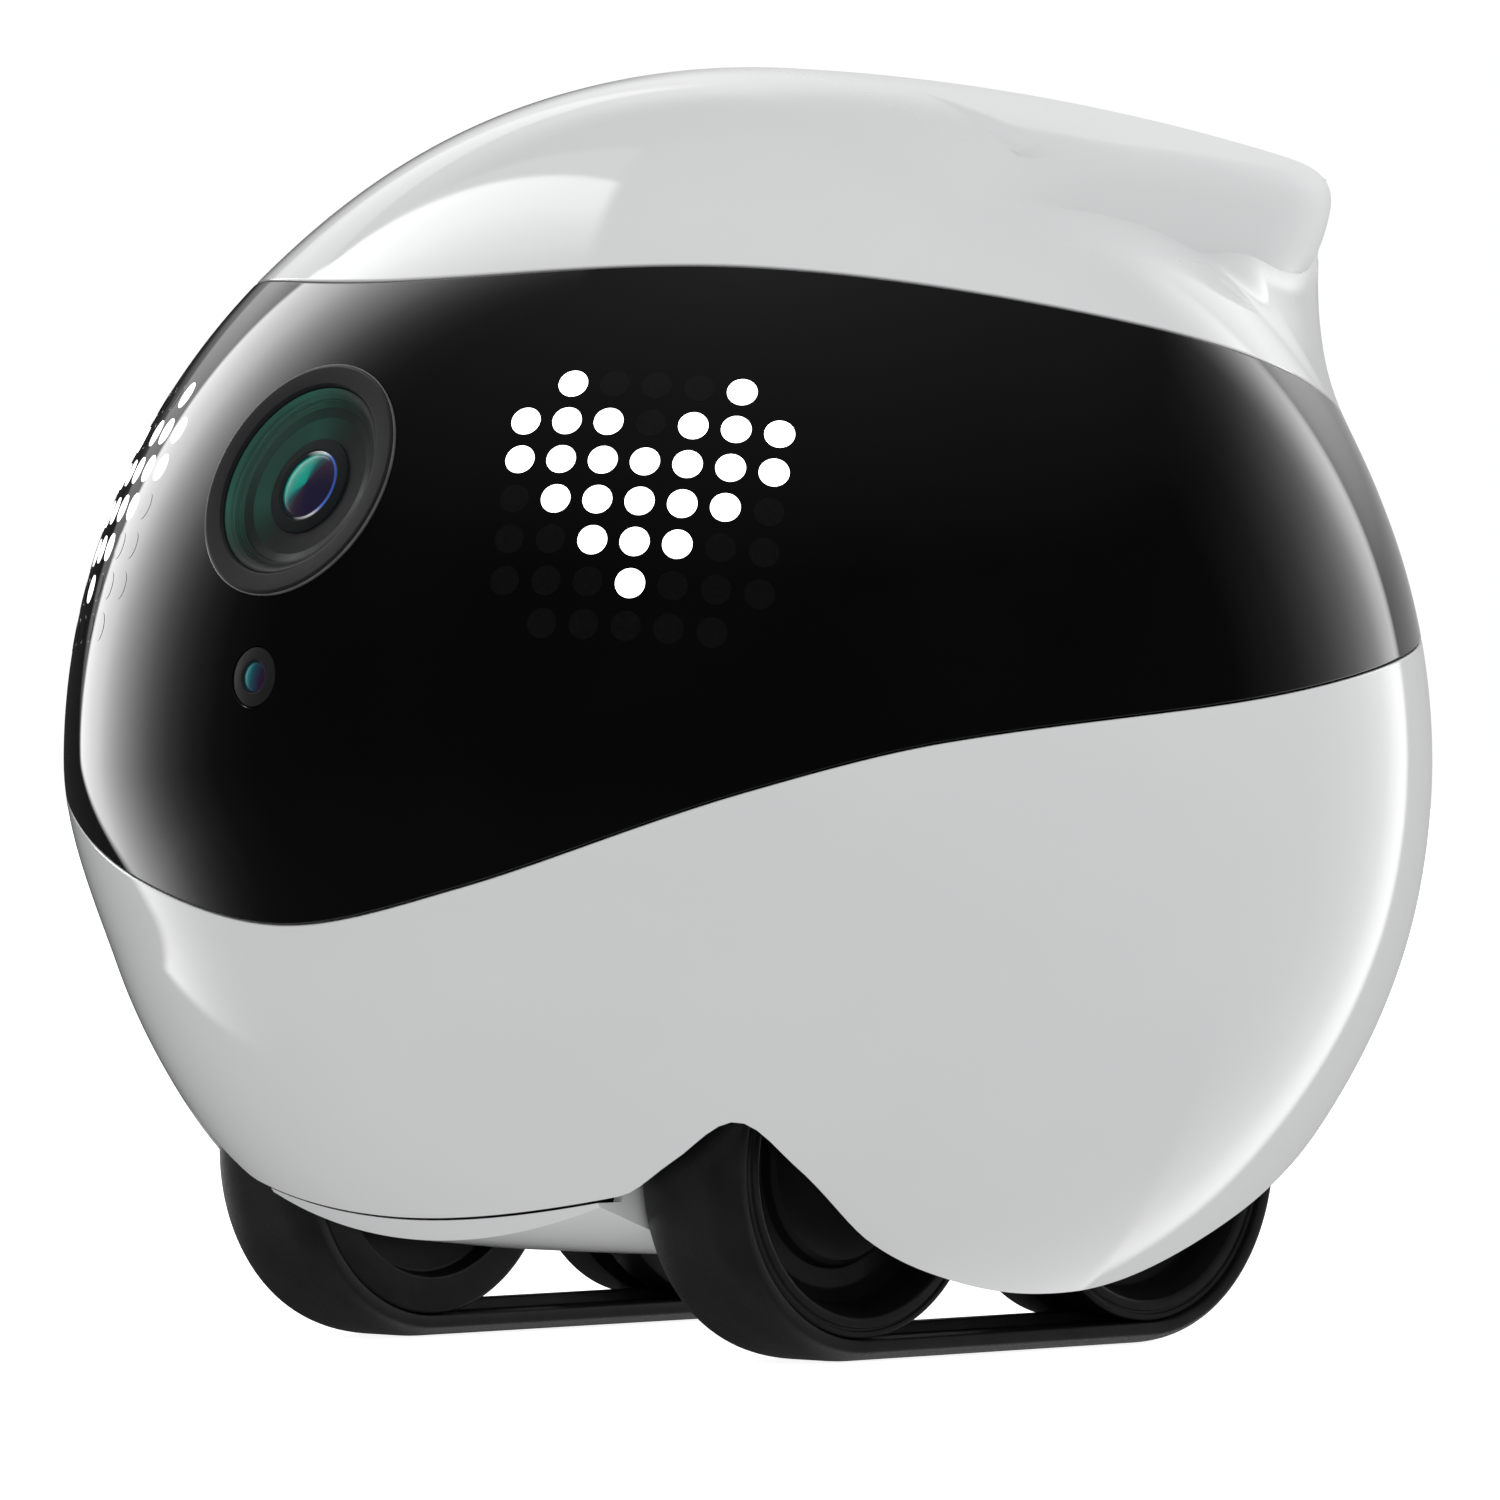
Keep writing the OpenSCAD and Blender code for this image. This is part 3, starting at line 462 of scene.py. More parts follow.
def satin_cap(mat, added_roughness):
    """A softer gloss towards the rear of the crest's cap, fading in from the front and from below."""
    tree = mat.node_tree
    parts = add_node(tree, "ShaderNodeSeparateXYZ")
    tree.links.new(place_on(tree), parts.inputs[0])
    shares = [mapped(tree, parts.outputs[axis], start * MM, end * MM, interpolation_type="SMOOTHSTEP")
              for axis, start, end in (("Y", -18.0, 6.0), ("Z", BALL_Z + 33.0, BALL_Z + 38.0))]
    rough = shader_of(mat).inputs["Roughness"]
    total = combine(tree, "MULTIPLY_ADD", combine(tree, "MULTIPLY", *shares), added_roughness,
                    rough.links[0].from_socket)
    tree.links.new(total, rough)


satin_cap(crest_white, 0.36)
visor_black = surface("visor_black", (0.0022, 0.0022, 0.0025), (0.0032, 0.0032, 0.0036),
                      (0.025, 0.04), 80, 0.0003, 700, ior=1.47)
surface("cover_white", (0.85, 0.855, 0.862), (0.88, 0.884, 0.89), (0.16, 0.24), 120, 0.0015, 2500,
        ior=1.47)
wheel_black = surface("wheel_black", (0.0085, 0.0085, 0.009), (0.0125, 0.0125, 0.0135), (0.30, 0.42),
                      300, 0.006, 3500)
belt_rubber = surface("belt_rubber", (0.0095, 0.0095, 0.0102), (0.015, 0.015, 0.0162), (0.42, 0.56),
                      350, 0.010, 4200)
dark_plastic = surface("dark_plastic", (0.012, 0.012, 0.013), (0.022, 0.022, 0.024), (0.45, 0.6),
                       300, 0.02, 2600)
trim_black = surface("trim_black", (0.016, 0.016, 0.018), (0.021, 0.021, 0.023), (0.30, 0.36),
                     300, 0.003, 5000)
ring_grey = surface("ring_grey", (0.014, 0.014, 0.016), (0.017, 0.017, 0.019), (0.45, 0.52),
                    400, 0.002, 5000, ior=1.4)
button_black = surface("button_black", (0.008, 0.008, 0.009), (0.013, 0.013, 0.014), (0.22, 0.32),
                       400, 0.004, 4000)
surface("steel", (0.52, 0.53, 0.55), (0.66, 0.67, 0.69), (0.22, 0.38), 400, 0.004, 2000, metallic=1.0,
        stretch=(6, 1, 1))
surface("motor_steel", (0.42, 0.43, 0.45), (0.56, 0.57, 0.59), (0.28, 0.42), 300, 0.006, 1500,
        metallic=1.0, stretch=(0.3, 4, 4))
surface("gold", (0.72, 0.5, 0.2), (0.9, 0.66, 0.3), (0.18, 0.3), 500, 0.003, 3000, metallic=1.0)
surface("bronze", (0.42, 0.27, 0.12), (0.58, 0.4, 0.19), (0.35, 0.5), 700, 0.01, 4000, metallic=1.0)
nylon = surface("nylon", (0.66, 0.63, 0.54), (0.76, 0.73, 0.65), (0.38, 0.5), 300, 0.008, 2200)
board_green = surface("board_green", (0.008, 0.09, 0.04), (0.012, 0.15, 0.07), (0.25, 0.4), 500, 0.02,
                      1300, coat=0.4)
surface("battery_wrap", (0.03, 0.06, 0.12), (0.05, 0.09, 0.17), (0.2, 0.35), 120, 0.02, 500, coat=0.5)
antenna_flex = surface("antenna_flex", (0.22, 0.11, 0.03), (0.34, 0.18, 0.05), (0.3, 0.45), 300, 0.01,
                       900)

# CAD nodes take the finish that is named like their slot, or one of these
STAND_INS = {"camera_trim": trim_black, "camera_glass": trim_black, "barrel_black": dark_plastic,
             "lens_coating": trim_black, "sensor_lens": button_black, "eye_light": nylon,
             "board": board_green, "antenna": antenna_flex}
for part in frame["record"]["subparts"]:
    slot = part["material_slot"]
    mesh = NODES[part["node"]].data
    mesh.materials.clear()
    mesh.materials.append(STAND_INS.get(slot) or MADE[slot])


# ---- Shells ----

EDGE_ROUND = 0.16
TURNS = 288


def skin(name, low, high, rows, turns=TURNS, under=0):
    """A closed shell of the ball between two edge lines, or from one to the top, with rounded edges.

    A shell up to the top has some of its rows under the crest's crease and the others above it.
    """
    turn = np.arange(turns) * 360 / turns
    gap = SEAM / 2
    e_low = elevation(turn, edge_height(low, turn) + gap)
    e_high = elevation(turn, edge_height(high, turn) - gap) if high else np.full(turns, 90.0)
    to_deg = math.degrees(1 / BALL_R)
    rings, tops = [], []

    def ring(elev, depth, phi, way, aside=None):
        d = direction(turn, elev)
        p = d * (radius_at(turn, elev) - depth)[:, None]
        rings.append(p)
        if aside:
            tops.append([outward(on_ball(turn, elev + side)) for side in (-aside, aside)])
            return
        n = outward(p)
        up = direction(turn, elev + 90)
        along = up - (up * n).sum(-1, keepdims=True) * n
        along /= np.linalg.norm(along, axis=-1, keepdims=True)
        tops.append([math.cos(phi) * n + way * math.sin(phi) * along] * 2)

    bends = [math.radians(a) for a in (90, 60, 30)]
    for phi in bends:
        ring(e_low + EDGE_ROUND * (1 - math.sin(phi)) * to_deg, EDGE_ROUND * (1 - math.cos(phi)), phi, -1)
    first = e_low + EDGE_ROUND * to_deg
    if high:
        last = e_high - EDGE_ROUND * to_deg
        for k in range(rows + 1):
            ring(first + (last - first) * k / rows, 0, 0, 1)
        for phi in reversed(bends):
            ring(e_high - EDGE_ROUND * (1 - math.sin(phi)) * to_deg, EDGE_ROUND * (1 - math.cos(phi)),
                 phi, 1)
    else:
        crease = np.maximum(crease_elev(turn), first + 2)
        crease = sum(np.roll(crease, k) * (4 - abs(k)) for k in range(-3, 4)) / 16
        for elev in even_rows(turn, first, crease, under)[:-1]:
            ring(elev, 0, 0, 1)
        ring(crease, 0, 0, 1, 0.03)
        for elev in even_rows(turn, crease, e_high, rows - under)[1:-1]:
            ring(elev, 0, 0, 1)
    outer = len(rings)
    if not high:
        top = np.array([[0, 0, float(radius_at(0.0, 90.0))]])
        rings.append(top)
        tops.append([np.array([[0, 0, 1.0]])] * 2)
        rings.append(top - [[0, 0, WALL]])
        tops.append([np.array([[0, 0, -1.0]])] * 2)
    inner_rows = 12
    inner_first = 1 if not high else 0
    for k in range(inner_first, inner_rows + 1):
        elev = e_high + (e_low - e_high) * k / inner_rows
        d = direction(turn, elev)
        swell = radius_at(turn, elev) - BALL_R
        p = d * (BALL_R - WALL + swell * np.where(swell > 0, 0.75, 1))[:, None]
        rings.append(p)
        tops.append([-d] * 2)

    points, faces, starts = [], [], []
    for r in rings:
        starts.append(len(points))
        points.extend(r.tolist())
    normals = []
    pairs = [(i, i + 1) for i in range(len(rings) - 1)] + [(len(rings) - 1, 0)]
    for a, b in pairs:
        if len(rings[a]) == 1 and len(rings[b]) == 1:
            continue
        na, nb = tops[a][1], tops[b][0]
        if a == len(rings) - 1:
            na = nb
        elif high and a == outer - 1:
            nb = na
        for i in range(turns):
            j = (i + 1) % turns
            if len(rings[b]) == 1:
                faces.append((starts[a] + i, starts[a] + j, starts[b]))
                normals += [na[i], na[j], nb[0]]
            elif len(rings[a]) == 1:
                faces.append((starts[a], starts[b] + j, starts[b] + i))
                normals += [na[0], nb[j], nb[i]]
            else:
                faces.append((starts[a] + i, starts[a] + j, starts[b] + j, starts[b] + i))
                normals += [na[i], na[j], nb[j], nb[i]]
    mesh = mesh_of(name, np.array(points) + [0, 0, BALL_Z], faces, normals)
    return add_object(name, mesh)


def renormal(obj, low, high):
    """Sets smooth normals again on a shell that was cut: exact on its outer face, flat in the cuts."""
    mesh = obj.data
    count = len(mesh.vertices)
    co = np.zeros(count * 3)
    mesh.vertices.foreach_get("co", co)
    p = co.reshape(-1, 3) / MM - [0, 0, BALL_Z]
    r = np.linalg.norm(p, axis=1)
    d = p / r[:, None]
    depth = body_r(d[:, 0], d[:, 1], d[:, 2]) - r
    n = outward(p)
    turn = np.degrees(np.arctan2(d[:, 0], -d[:, 1])) % 360
    z_low, z_high = edge_height(low, turn), edge_height(high, turn)
    way = np.where(np.abs(p[:, 2] - z_low) < np.abs(p[:, 2] - z_high), -1.0, 1.0)
    up = np.cross(np.cross(d, [0, 0, 1.0]), d)
    along = up - (up * n).sum(-1, keepdims=True) * n
    along /= np.maximum(np.linalg.norm(along, axis=-1, keepdims=True), 1e-9)
    cosine = np.clip(1 - depth / EDGE_ROUND, 0, 1)
    sine = np.sqrt(1 - cosine ** 2)
    near_edge = np.minimum(np.abs(p[:, 2] - z_low), np.abs(p[:, 2] - z_high)) < 0.4
    bent = cosine[:, None] * n + (way * sine)[:, None] * along
    smooth = np.where((near_edge & (depth > 0.002))[:, None], bent, n)
    normals = []
    for poly in mesh.polygons:
        flat = np.array(poly.normal)
        for v in poly.vertices:
            s = smooth[v]
            on_face = depth[v] < EDGE_ROUND * 1.02 and float(s @ flat) > 0.8
            normals.append(s if on_face else flat)
    mesh.polygons.foreach_set("use_smooth", [True] * len(mesh.polygons))
    mesh.normals_split_custom_set([tuple(x) for x in normals])
    mesh.update()


def slab(outline, matrix, low, high):
    """A prism over an outline of (x, y) points, in mm."""
    cx = sum(x for x, _ in outline) / len(outline)
    cy = sum(y for _, y in outline) / len(outline)
    rings = [[(cx, cy, low)], [(x, y, low) for x, y in outline], [(x, y, high) for x, y in outline],
             [(cx, cy, high)]]
    points, faces = strips(rings, False)
    mesh = mesh_of("cut", points, faces)
    mesh.transform(matrix)
    return mesh


def cut(obj, meshes):
    """Takes cutters away from a piece, for good."""
    tools = []
    for i, mesh in enumerate(meshes):
        tool = bpy.data.objects.new(f"cut_{i}", mesh)
        bpy.context.scene.collection.objects.link(tool)
        tools.append(tool)
        mod = obj.modifiers.new("cut", "BOOLEAN")
        mod.operation = "DIFFERENCE"
        mod.solver = "EXACT"
        mod.object = tool
    dg = bpy.context.evaluated_depsgraph_get()
    made = bpy.data.meshes.new_from_object(obj.evaluated_get(dg), depsgraph=dg)
    obj.modifiers.clear()
    obj.data = made
    for tool in tools:
        bpy.data.objects.remove(tool)


top_shell = skin("top_shell_skin", VISOR_TOP, None, 150, 480, 55)
wear(top_shell, crest_white, "shell_white", "top_shell")
lower_shell = skin("lower_shell_skin", SKIRT, VISOR_BOTTOM, 72)
wear(lower_shell, shell_white, "shell_white", "lower_shell")
visor = skin("visor_skin", VISOR_BOTTOM, VISOR_TOP, 56)

CAMERA_R = 8.8
SENSOR_R = 2.1
to_camera = aimed(0, CAMERA_TILT)
to_sensor = aimed(0, SENSOR_TILT)
flare = [(0, 40), (CAMERA_R + 0.1, 40), (CAMERA_R + 0.1, 49.1), (CAMERA_R + 0.5, 49.5),
         (CAMERA_R + 0.5, 56), (0, 56)]
sensor_flare = [(0, 40), (SENSOR_R + 0.08, 40), (SENSOR_R + 0.08, 49.86), (SENSOR_R + 0.3, 50.1),
                (SENSOR_R + 0.3, 56), (0, 56)]
usb_low, usb_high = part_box("usb_socket")
card_low, card_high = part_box("card_slot")
button_low, button_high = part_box("power_button")


def circle(radius, count):
    angles = [2 * math.pi * k / count for k in range(count)]
    return [(radius * math.cos(a), radius * math.sin(a)) for a in angles]


def rear(x, z):
    """A frame on the rear with local +Z along +Y, for outlines given as (x, height)."""
    return Matrix.Translation((x, 0, z)) @ Matrix.Rotation(math.radians(90), 4, "X")


usb_mid = (usb_low + usb_high) / 2
half_w = (usb_high.x - usb_low.x) / 2 / MM + 0.25
half_h = (usb_high.z - usb_low.z) / 2 / MM + 0.25
usb_outline = [(x + math.copysign(half_w - half_h, x), z) for x, z in circle(half_h, 48)]
card_mid = (card_low + card_high) / 2
card_half = (card_high.x - card_low.x) / 2 / MM + 0.3
card_outline = [(-card_half, -0.75), (card_half, -0.75), (card_half, 0.75), (-card_half, 0.75)]
button_mid = (button_low + button_high) / 2
BUTTON_R = 2.3
button_hole = circle(BUTTON_R + 0.2, 64)
cut(visor, [turned(flare, to_camera), turned(sensor_flare, to_sensor, 64),
            slab(usb_outline, rear(usb_mid.x, usb_mid.z), -60, -40),
            slab(card_outline, rear(card_mid.x, card_mid.z), -60, -35),
            slab(button_hole, rear(button_mid.x, button_mid.z), -60, -35)])
renormal(visor, VISOR_BOTTOM, VISOR_TOP)
wear(visor, visor_black, "visor_black", "visor")


# ---- Eye lights, seen through the visor ----

HEART = {0: (1, 5), 1: (0, 1, 2, 4, 5, 6), 2: (0, 1, 2, 3, 4, 5, 6), 3: (1, 2, 3, 4, 5), 4: (2, 3, 4),
         5: (3,)}
DOT_R = 1.05

light_on = principled("light_on", (0.9, 0.92, 0.95), 0.25, coat=0.6)
shader_of(light_on).inputs["Emission Color"].default_value = (1, 1, 1, 1)
glow = spread(light_on, noise(light_on, 900), 2.2, 2.6)
light_on.node_tree.links.new(glow, shader_of(light_on).inputs["Emission Strength"])
light_off = surface("light_off", (0.0052, 0.0052, 0.0056), (0.0068, 0.0068, 0.0074), (0.03, 0.05), 2500,
                    0.0003, 700, ior=1.47)


def dots(name, side, lit):
    """The discs of one eye that are lit, or those that aren't, following the visor's surface."""
    place = aimed(side * EYE_TURN, EYE_TILT, -side * EYE_ROLL)
    turn = np.array(place.to_3x3())
    points, faces, normals = [], [], []
    segments = 40
    for row in range(7):
        for col in range(7):
            if row in (0, 6) and col in (0, 6):
                continue
            if (col in HEART.get(row, ())) != lit:
                continue
            cx, cy = side * (col - 3) * LED_PITCH, (3 - row) * LED_PITCH
            rings = []
            for radius, lift in ((0, 0.02), (0.5, 0.02), (1, 0.02), (1, -0.05)):
                rings.append([])
                for k in range(1 if radius == 0 else segments):
                    a = 2 * math.pi * k / segments
                    x, y = cx + radius * DOT_R * math.cos(a), cy + radius * DOT_R * math.sin(a)
                    w = math.sqrt(BALL_R ** 2 - x * x - y * y)
                    for _ in range(4):
                        q = turn @ np.array([x, y, w])
                        q /= np.linalg.norm(q)
                        r = float(body_r(q[0], q[1], q[2])) + lift
                        w = math.sqrt(r * r - x * x - y * y)
                    rings[-1].append(turn @ np.array([x, y, w]))
            disc, sides = strips(rings, False)
            faces += [tuple(len(points) + v for v in reversed(face)) for face in sides]
            points += disc
            faces.append(tuple(len(points) - 1 - k for k in range(segments)))
    pts = np.array(points)
    n = outward(pts)
    for face in faces:
        normals += [n[v] for v in face]
    mesh = mesh_of(name, pts + [0, 0, BALL_Z], faces, normals)
    return add_object(name, mesh)


for side, label in ((1, "left"), (-1, "right")):
    wear(dots(f"{label}_eye_lit_dots", side, True), light_on, "eye_light", f"{label}_eye_lights")
    wear(dots(f"{label}_eye_dark_dots", side, False), light_off, "eye_light")


# ---- Camera ----

GLASS_MIDDLE = 48.5


def painted_reflection(mat, axis, toward, stops, glow=None):
    """Paints a reflection or highlight into a finish's colour by how far a point lies round an axis: 0 away from a
    side, 1 towards it. With glow, the painted colour also glows, though the piece is no lamp.
    """
    tree, inputs = mat.node_tree, shader_of(mat).inputs
    middle = axis.translation + axis.to_3x3() @ Vector((0, 0, GLASS_MIDDLE * MM))
    unit = combine_vectors(tree, "NORMALIZE", combine_vectors(tree, "SUBTRACT", place_on(tree), middle))
    dot = combine_vectors(tree, "DOT_PRODUCT", unit, axis.to_3x3() @ Vector(toward).normalized())
    tint = ramp(tree, mapped(tree, dot, -1, 1), stops)
    tree.links.new(tint, inputs["Base Color"])
    if glow is not None:
        tree.links.new(tint, inputs["Emission Color"])
        inputs["Emission Strength"].default_value = glow
    return mat


ring_profile = rounded([(7.2, 45.4), (CAMERA_R, 45.4), (CAMERA_R, 49.48, 0.06), (8.6, 49.54, 0.06),
                        (7.35, 49.5, 0.08), (7.2, 49.3, 0.05)])
ring = lathe("camera_bezel", ring_profile, to_camera, 192)
wear(ring, ring_grey, "camera_trim", "camera_ring")

# A thin light-grey ring at the bezel's outer edge: a painted highlight line along the gap
halo_profile = rounded([(CAMERA_R - 0.02, 49.2), (CAMERA_R + 0.1, 49.2), (CAMERA_R + 0.1, 49.35, 0.03),
                        (CAMERA_R + 0.01, 49.42, 0.03)])
halo = lathe("camera_bezel_edge", halo_profile, to_camera, 192)
painted_highlight_grey = surface("painted_highlight_grey", (0.10, 0.10, 0.10), (0.16, 0.16, 0.16), (0.25, 0.35), 600, 0.001, 5000)
wear(halo, painted_highlight_grey, "camera_trim")


def painted_reflection_finish(name, toward, stops, rough, relief, scale):
    """A finish with a painted reflection, whose tone changes round the camera's axis."""
    mat = surface(name, (0.02, 0.02, 0.02), (0.03, 0.03, 0.03), rough, 500, relief, scale)
    return painted_reflection(mat, to_camera, toward, stops)


# The stepped barrel: a painted reflection, green on one side and dark violet on the other
steps_painted_reflection = painted_reflection_finish("barrel_steps_painted_reflection", (-0.75, 0.45, 0),
                 [(0.12, (0.020, 0.012, 0.015)), (0.42, (0.018, 0.018, 0.018)),
                  (0.62, (0.018, 0.055, 0.042)), (0.85, (0.026, 0.15, 0.105)), (1.0, (0.022, 0.12, 0.086))],
                 (0.4, 0.5), 0.004, 6000)
barrel_profile = rounded([
    (0, 40), (5.6, 40), (7.1, 40.5), (7.15, 49.2, 0.04), (6.95, 49.2, 0.04), (6.6, 48.86, 0.05),
    (6.5, 48.86, 0.02), (6.46, 48.74, 0.02), (6.34, 48.74, 0.02), (6.3, 48.62, 0.02), (6.18, 48.62, 0.02),
    (6.14, 48.5, 0.02), (6.0, 48.48, 0.02), (5.95, 48.3, 0.02), (0, 48.0)], 3)
wear(lathe("camera_barrel", barrel_profile, to_camera, 192, sharp=35), steps_painted_reflection, "barrel_black",
     "lens_barrel")

# The brushed cone inside it, with a painted highlight on one side and a painted green reflection on the other
cone_painted_highlight = painted_reflection_finish("barrel_cone_painted_highlight", (0.62, -0.62, 0.1),
                 [(0.0, (0.016, 0.07, 0.055)), (0.3, (0.016, 0.026, 0.024)), (0.55, (0.014, 0.012, 0.014)),
                  (0.76, (0.035, 0.033, 0.035)), (0.9, (0.20, 0.20, 0.20)), (0.97, (0.10, 0.095, 0.10)),
                  (1.0, (0.05, 0.045, 0.05))], (0.35, 0.6), 0.03, 9000)
cone_profile = rounded([(3.6, 47.6), (6.05, 47.6), (6.05, 48.42, 0.05), (5.85, 48.42, 0.05),
                        (4.7, 48.12, 0.4), (3.82, 48.02, 0.05), (3.78, 48.16, 0.03), (3.6, 48.16, 0.03)])
wear(lathe("camera_cone", cone_profile, to_camera, 192, sharp=35), cone_painted_highlight, "barrel_black")
collar_profile = rounded([(2.45, 47.6), (3.62, 47.6), (3.62, 48.3, 0.08), (2.75, 48.42, 0.1),
                          (2.6, 48.3, 0.04), (2.45, 48.1)])
wear(lathe("camera_collar", collar_profile, to_camera, 160, sharp=35), ring_grey, "barrel_black")

# The front lens: a painted reflection, teal on one side and violet on the other, with a faint painted glow, and a
# rim round it with a painted highlight
lens_painted_reflection = painted_reflection(principled("lens_coating", (0.02, 0.02, 0.05), 0.04, coat=1.0, coat_roughness=0.02),
                   to_camera, (-0.8, 0.5, 0),
                   [(0.1, (0.02, 0.012, 0.05)), (0.45, (0.045, 0.022, 0.05)), (0.62, (0.01, 0.10, 0.12)),
                    (0.8, (0.0, 0.42, 0.34)), (1.0, (0.0, 0.5, 0.38))], 0.35)
lens_profile = [(0, 47.7), (2.5, 47.7), (2.5, 48.2)] + [
    (2.45 * math.cos(math.radians(a)), 48.22 + 0.42 * math.sin(math.radians(a)))
    for a in (0, 12, 24, 36, 48, 60, 70, 80)] + [(0, 48.64)]
lens = lathe("camera_front_lens", lens_profile, to_camera, 128, sharp=60)
wear(lens, lens_painted_reflection, "lens_coating", "front_lens_element")

# The lens rim: a painted highlight, white towards one side with blue beyond it, and a painted glow
rim_profile = rounded([(2.45, 48.0), (2.62, 48.0), (2.62, 48.42, 0.04), (2.5, 48.44, 0.04)])
rim = lathe("camera_lens_rim", rim_profile, to_camera, 128)
rim_painted_highlight = painted_reflection(principled("lens_rim_painted_highlight", (0.5, 0.5, 0.52), 0.15, metallic=1.0), to_camera, (0.9, 0.1, 0),
                  [(0.35, (0.01, 0.01, 0.015)), (0.55, (0.5, 0.5, 0.5)), (0.7, (0.8, 0.8, 0.8)),
                   (0.85, (0.1, 0.2, 0.7)), (1.0, (0.05, 0.12, 0.5))], 0.8)
wear(rim, rim_painted_highlight, "lens_coating")

# The thin cover glass, domed like the ball: clear, with a weak green reflection
glass_mat = surface("camera_glass", (0.01, 0.02, 0.018), (0.012, 0.024, 0.02), (0.015, 0.03), 200, 0.0002,
                    900)
shader_of(glass_mat).inputs["Alpha"].default_value = 0.16
shader_of(glass_mat).inputs["Specular Tint"].default_value = (0.35, 1.0, 0.75, 1)
DOME_R, DOME_TOP, GLASS_R, GLASS_T = 40.0, 49.6, 7.15, 0.3
steps = [GLASS_R * k / 12 for k in range(13)]
upper = [(r, DOME_TOP - DOME_R + math.sqrt(DOME_R ** 2 - r * r)) for r in steps]
lower = [(r, z - GLASS_T) for r, z in reversed(upper)]
glass = lathe("camera_cover_glass", upper + lower, to_camera, 128, sharp=60, closed=False)
wear(glass, glass_mat, "camera_glass", "camera_window")

# ---- Sensor window ----

sensor_profile = rounded([(0, 47.6), (SENSOR_R, 47.6), (SENSOR_R, 49.85, 0.06), (1.2, 49.97, 0.04),
                          (1.12, 49.75, 0.03), (0, 49.7)])
sensor = lathe("sensor_bezel", sensor_profile, to_sensor, 96)
wear(sensor, trim_black, "sensor_lens", "sensor_window")
# The sensor's small lens: a painted reflection, teal on one side and violet on the other
pip_painted_reflection = painted_reflection(principled("sensor_painted_reflection", (0.01, 0.03, 0.06), 0.05, coat=1.0),
                  to_sensor, (-0.9, 0.2, 0),
                  [(0.3, (0.03, 0.012, 0.05)), (0.55, (0.01, 0.08, 0.12)), (0.8, (0.0, 0.3, 0.32))])
pip_profile = [(0, 49.6), (1.1, 49.6), (1.1, 49.74)] + [
    (1.08 * math.cos(math.radians(a)), 49.74 + 0.2 * math.sin(math.radians(a)))
    for a in (0, 20, 40, 60, 80)] + [(0, 49.94)]
wear(lathe("sensor_lens", pip_profile, to_sensor, 64, sharp=60), pip_painted_reflection, "sensor_lens")


# ---- Tracks ----

GAUGE_HALF = abs(JOINTS["left_drive_turn"]["pos_m"][0]) / MM
AXLE_Y = abs(JOINTS["left_drive_turn"]["pos_m"][1]) / MM
AXLE_Z = JOINTS["left_drive_turn"]["pos_m"][2] / MM
WHEEL_R, WHEEL_HALF = 12.2, 4.4
BELT_IN_R, BELT_HALF, BELT_T, BELT_EDGE, BELT_FLAT = 12.3, 4.7, 1.6, 0.75, 1.6
RIB_HALF, RIB_H = 0.8, 0.8


def crown(u):
    t = max(0.0, abs(u) - BELT_FLAT) / (BELT_HALF - BELT_FLAT)
    return BELT_EDGE + (BELT_T - BELT_EDGE) * math.sqrt(max(0.0, 1 - t ** 2.2))


def belt_profile():
    """Closed outline of (across, outwards), round the belt's section."""
    half = [(BELT_FLAT, BELT_T)]
    for t in (0.1, 0.2, 0.3, 0.4, 0.5, 0.6, 0.7, 0.78, 0.85, 0.91, 0.95, 0.98, 0.995):
        u = BELT_FLAT + (BELT_HALF - BELT_FLAT) * t
        half.append((u, crown(u)))
    half += [(BELT_HALF, BELT_EDGE), (BELT_HALF, 0.2), (BELT_HALF - 0.06, 0.06), (BELT_HALF - 0.2, 0.0),
             (RIB_HALF + 0.15, 0.0), (RIB_HALF + 0.03, -0.05), (RIB_HALF, -0.15),
             (RIB_HALF - 0.05, -RIB_H + 0.1), (RIB_HALF - 0.15, -RIB_H)]
    return [(0, BELT_T)] + half + [(0, -RIB_H)] + [(-u, h) for u, h in reversed(half)]


def belt(name, side):
    profile = belt_profile()
    bend, run = 72, 16
    path = []
    for end in (1, -1):
        for k in range(bend + 1):
            a = math.pi * k / bend - math.pi / 2
            path.append((end * (AXLE_Y + BELT_IN_R * math.cos(a)), end * BELT_IN_R * math.sin(a),
                         end * math.cos(a), end * math.sin(a)))
        for k in range(1, run):
            y = end * (AXLE_Y - 2 * AXLE_Y * k / run)
            path.append((y, end * BELT_IN_R, 0, end))
    rings = []
    for u, h in profile:
        rings.append([(side * (GAUGE_HALF + u), y + ny * h, AXLE_Z + z + nz * h)
                      for y, z, ny, nz in path])
    if side < 0:
        rings = [list(reversed(r)) for r in rings]
    points, faces = strips(rings, True)
    return add_object(name, mesh_of(name, points, faces, sharp=50))


def wheel_frame(side, y):
    return Matrix.Translation((side * GAUGE_HALF * MM, y * MM, AXLE_Z * MM)) @ \
        Matrix.Rotation(math.radians(90 * side), 4, "Y")


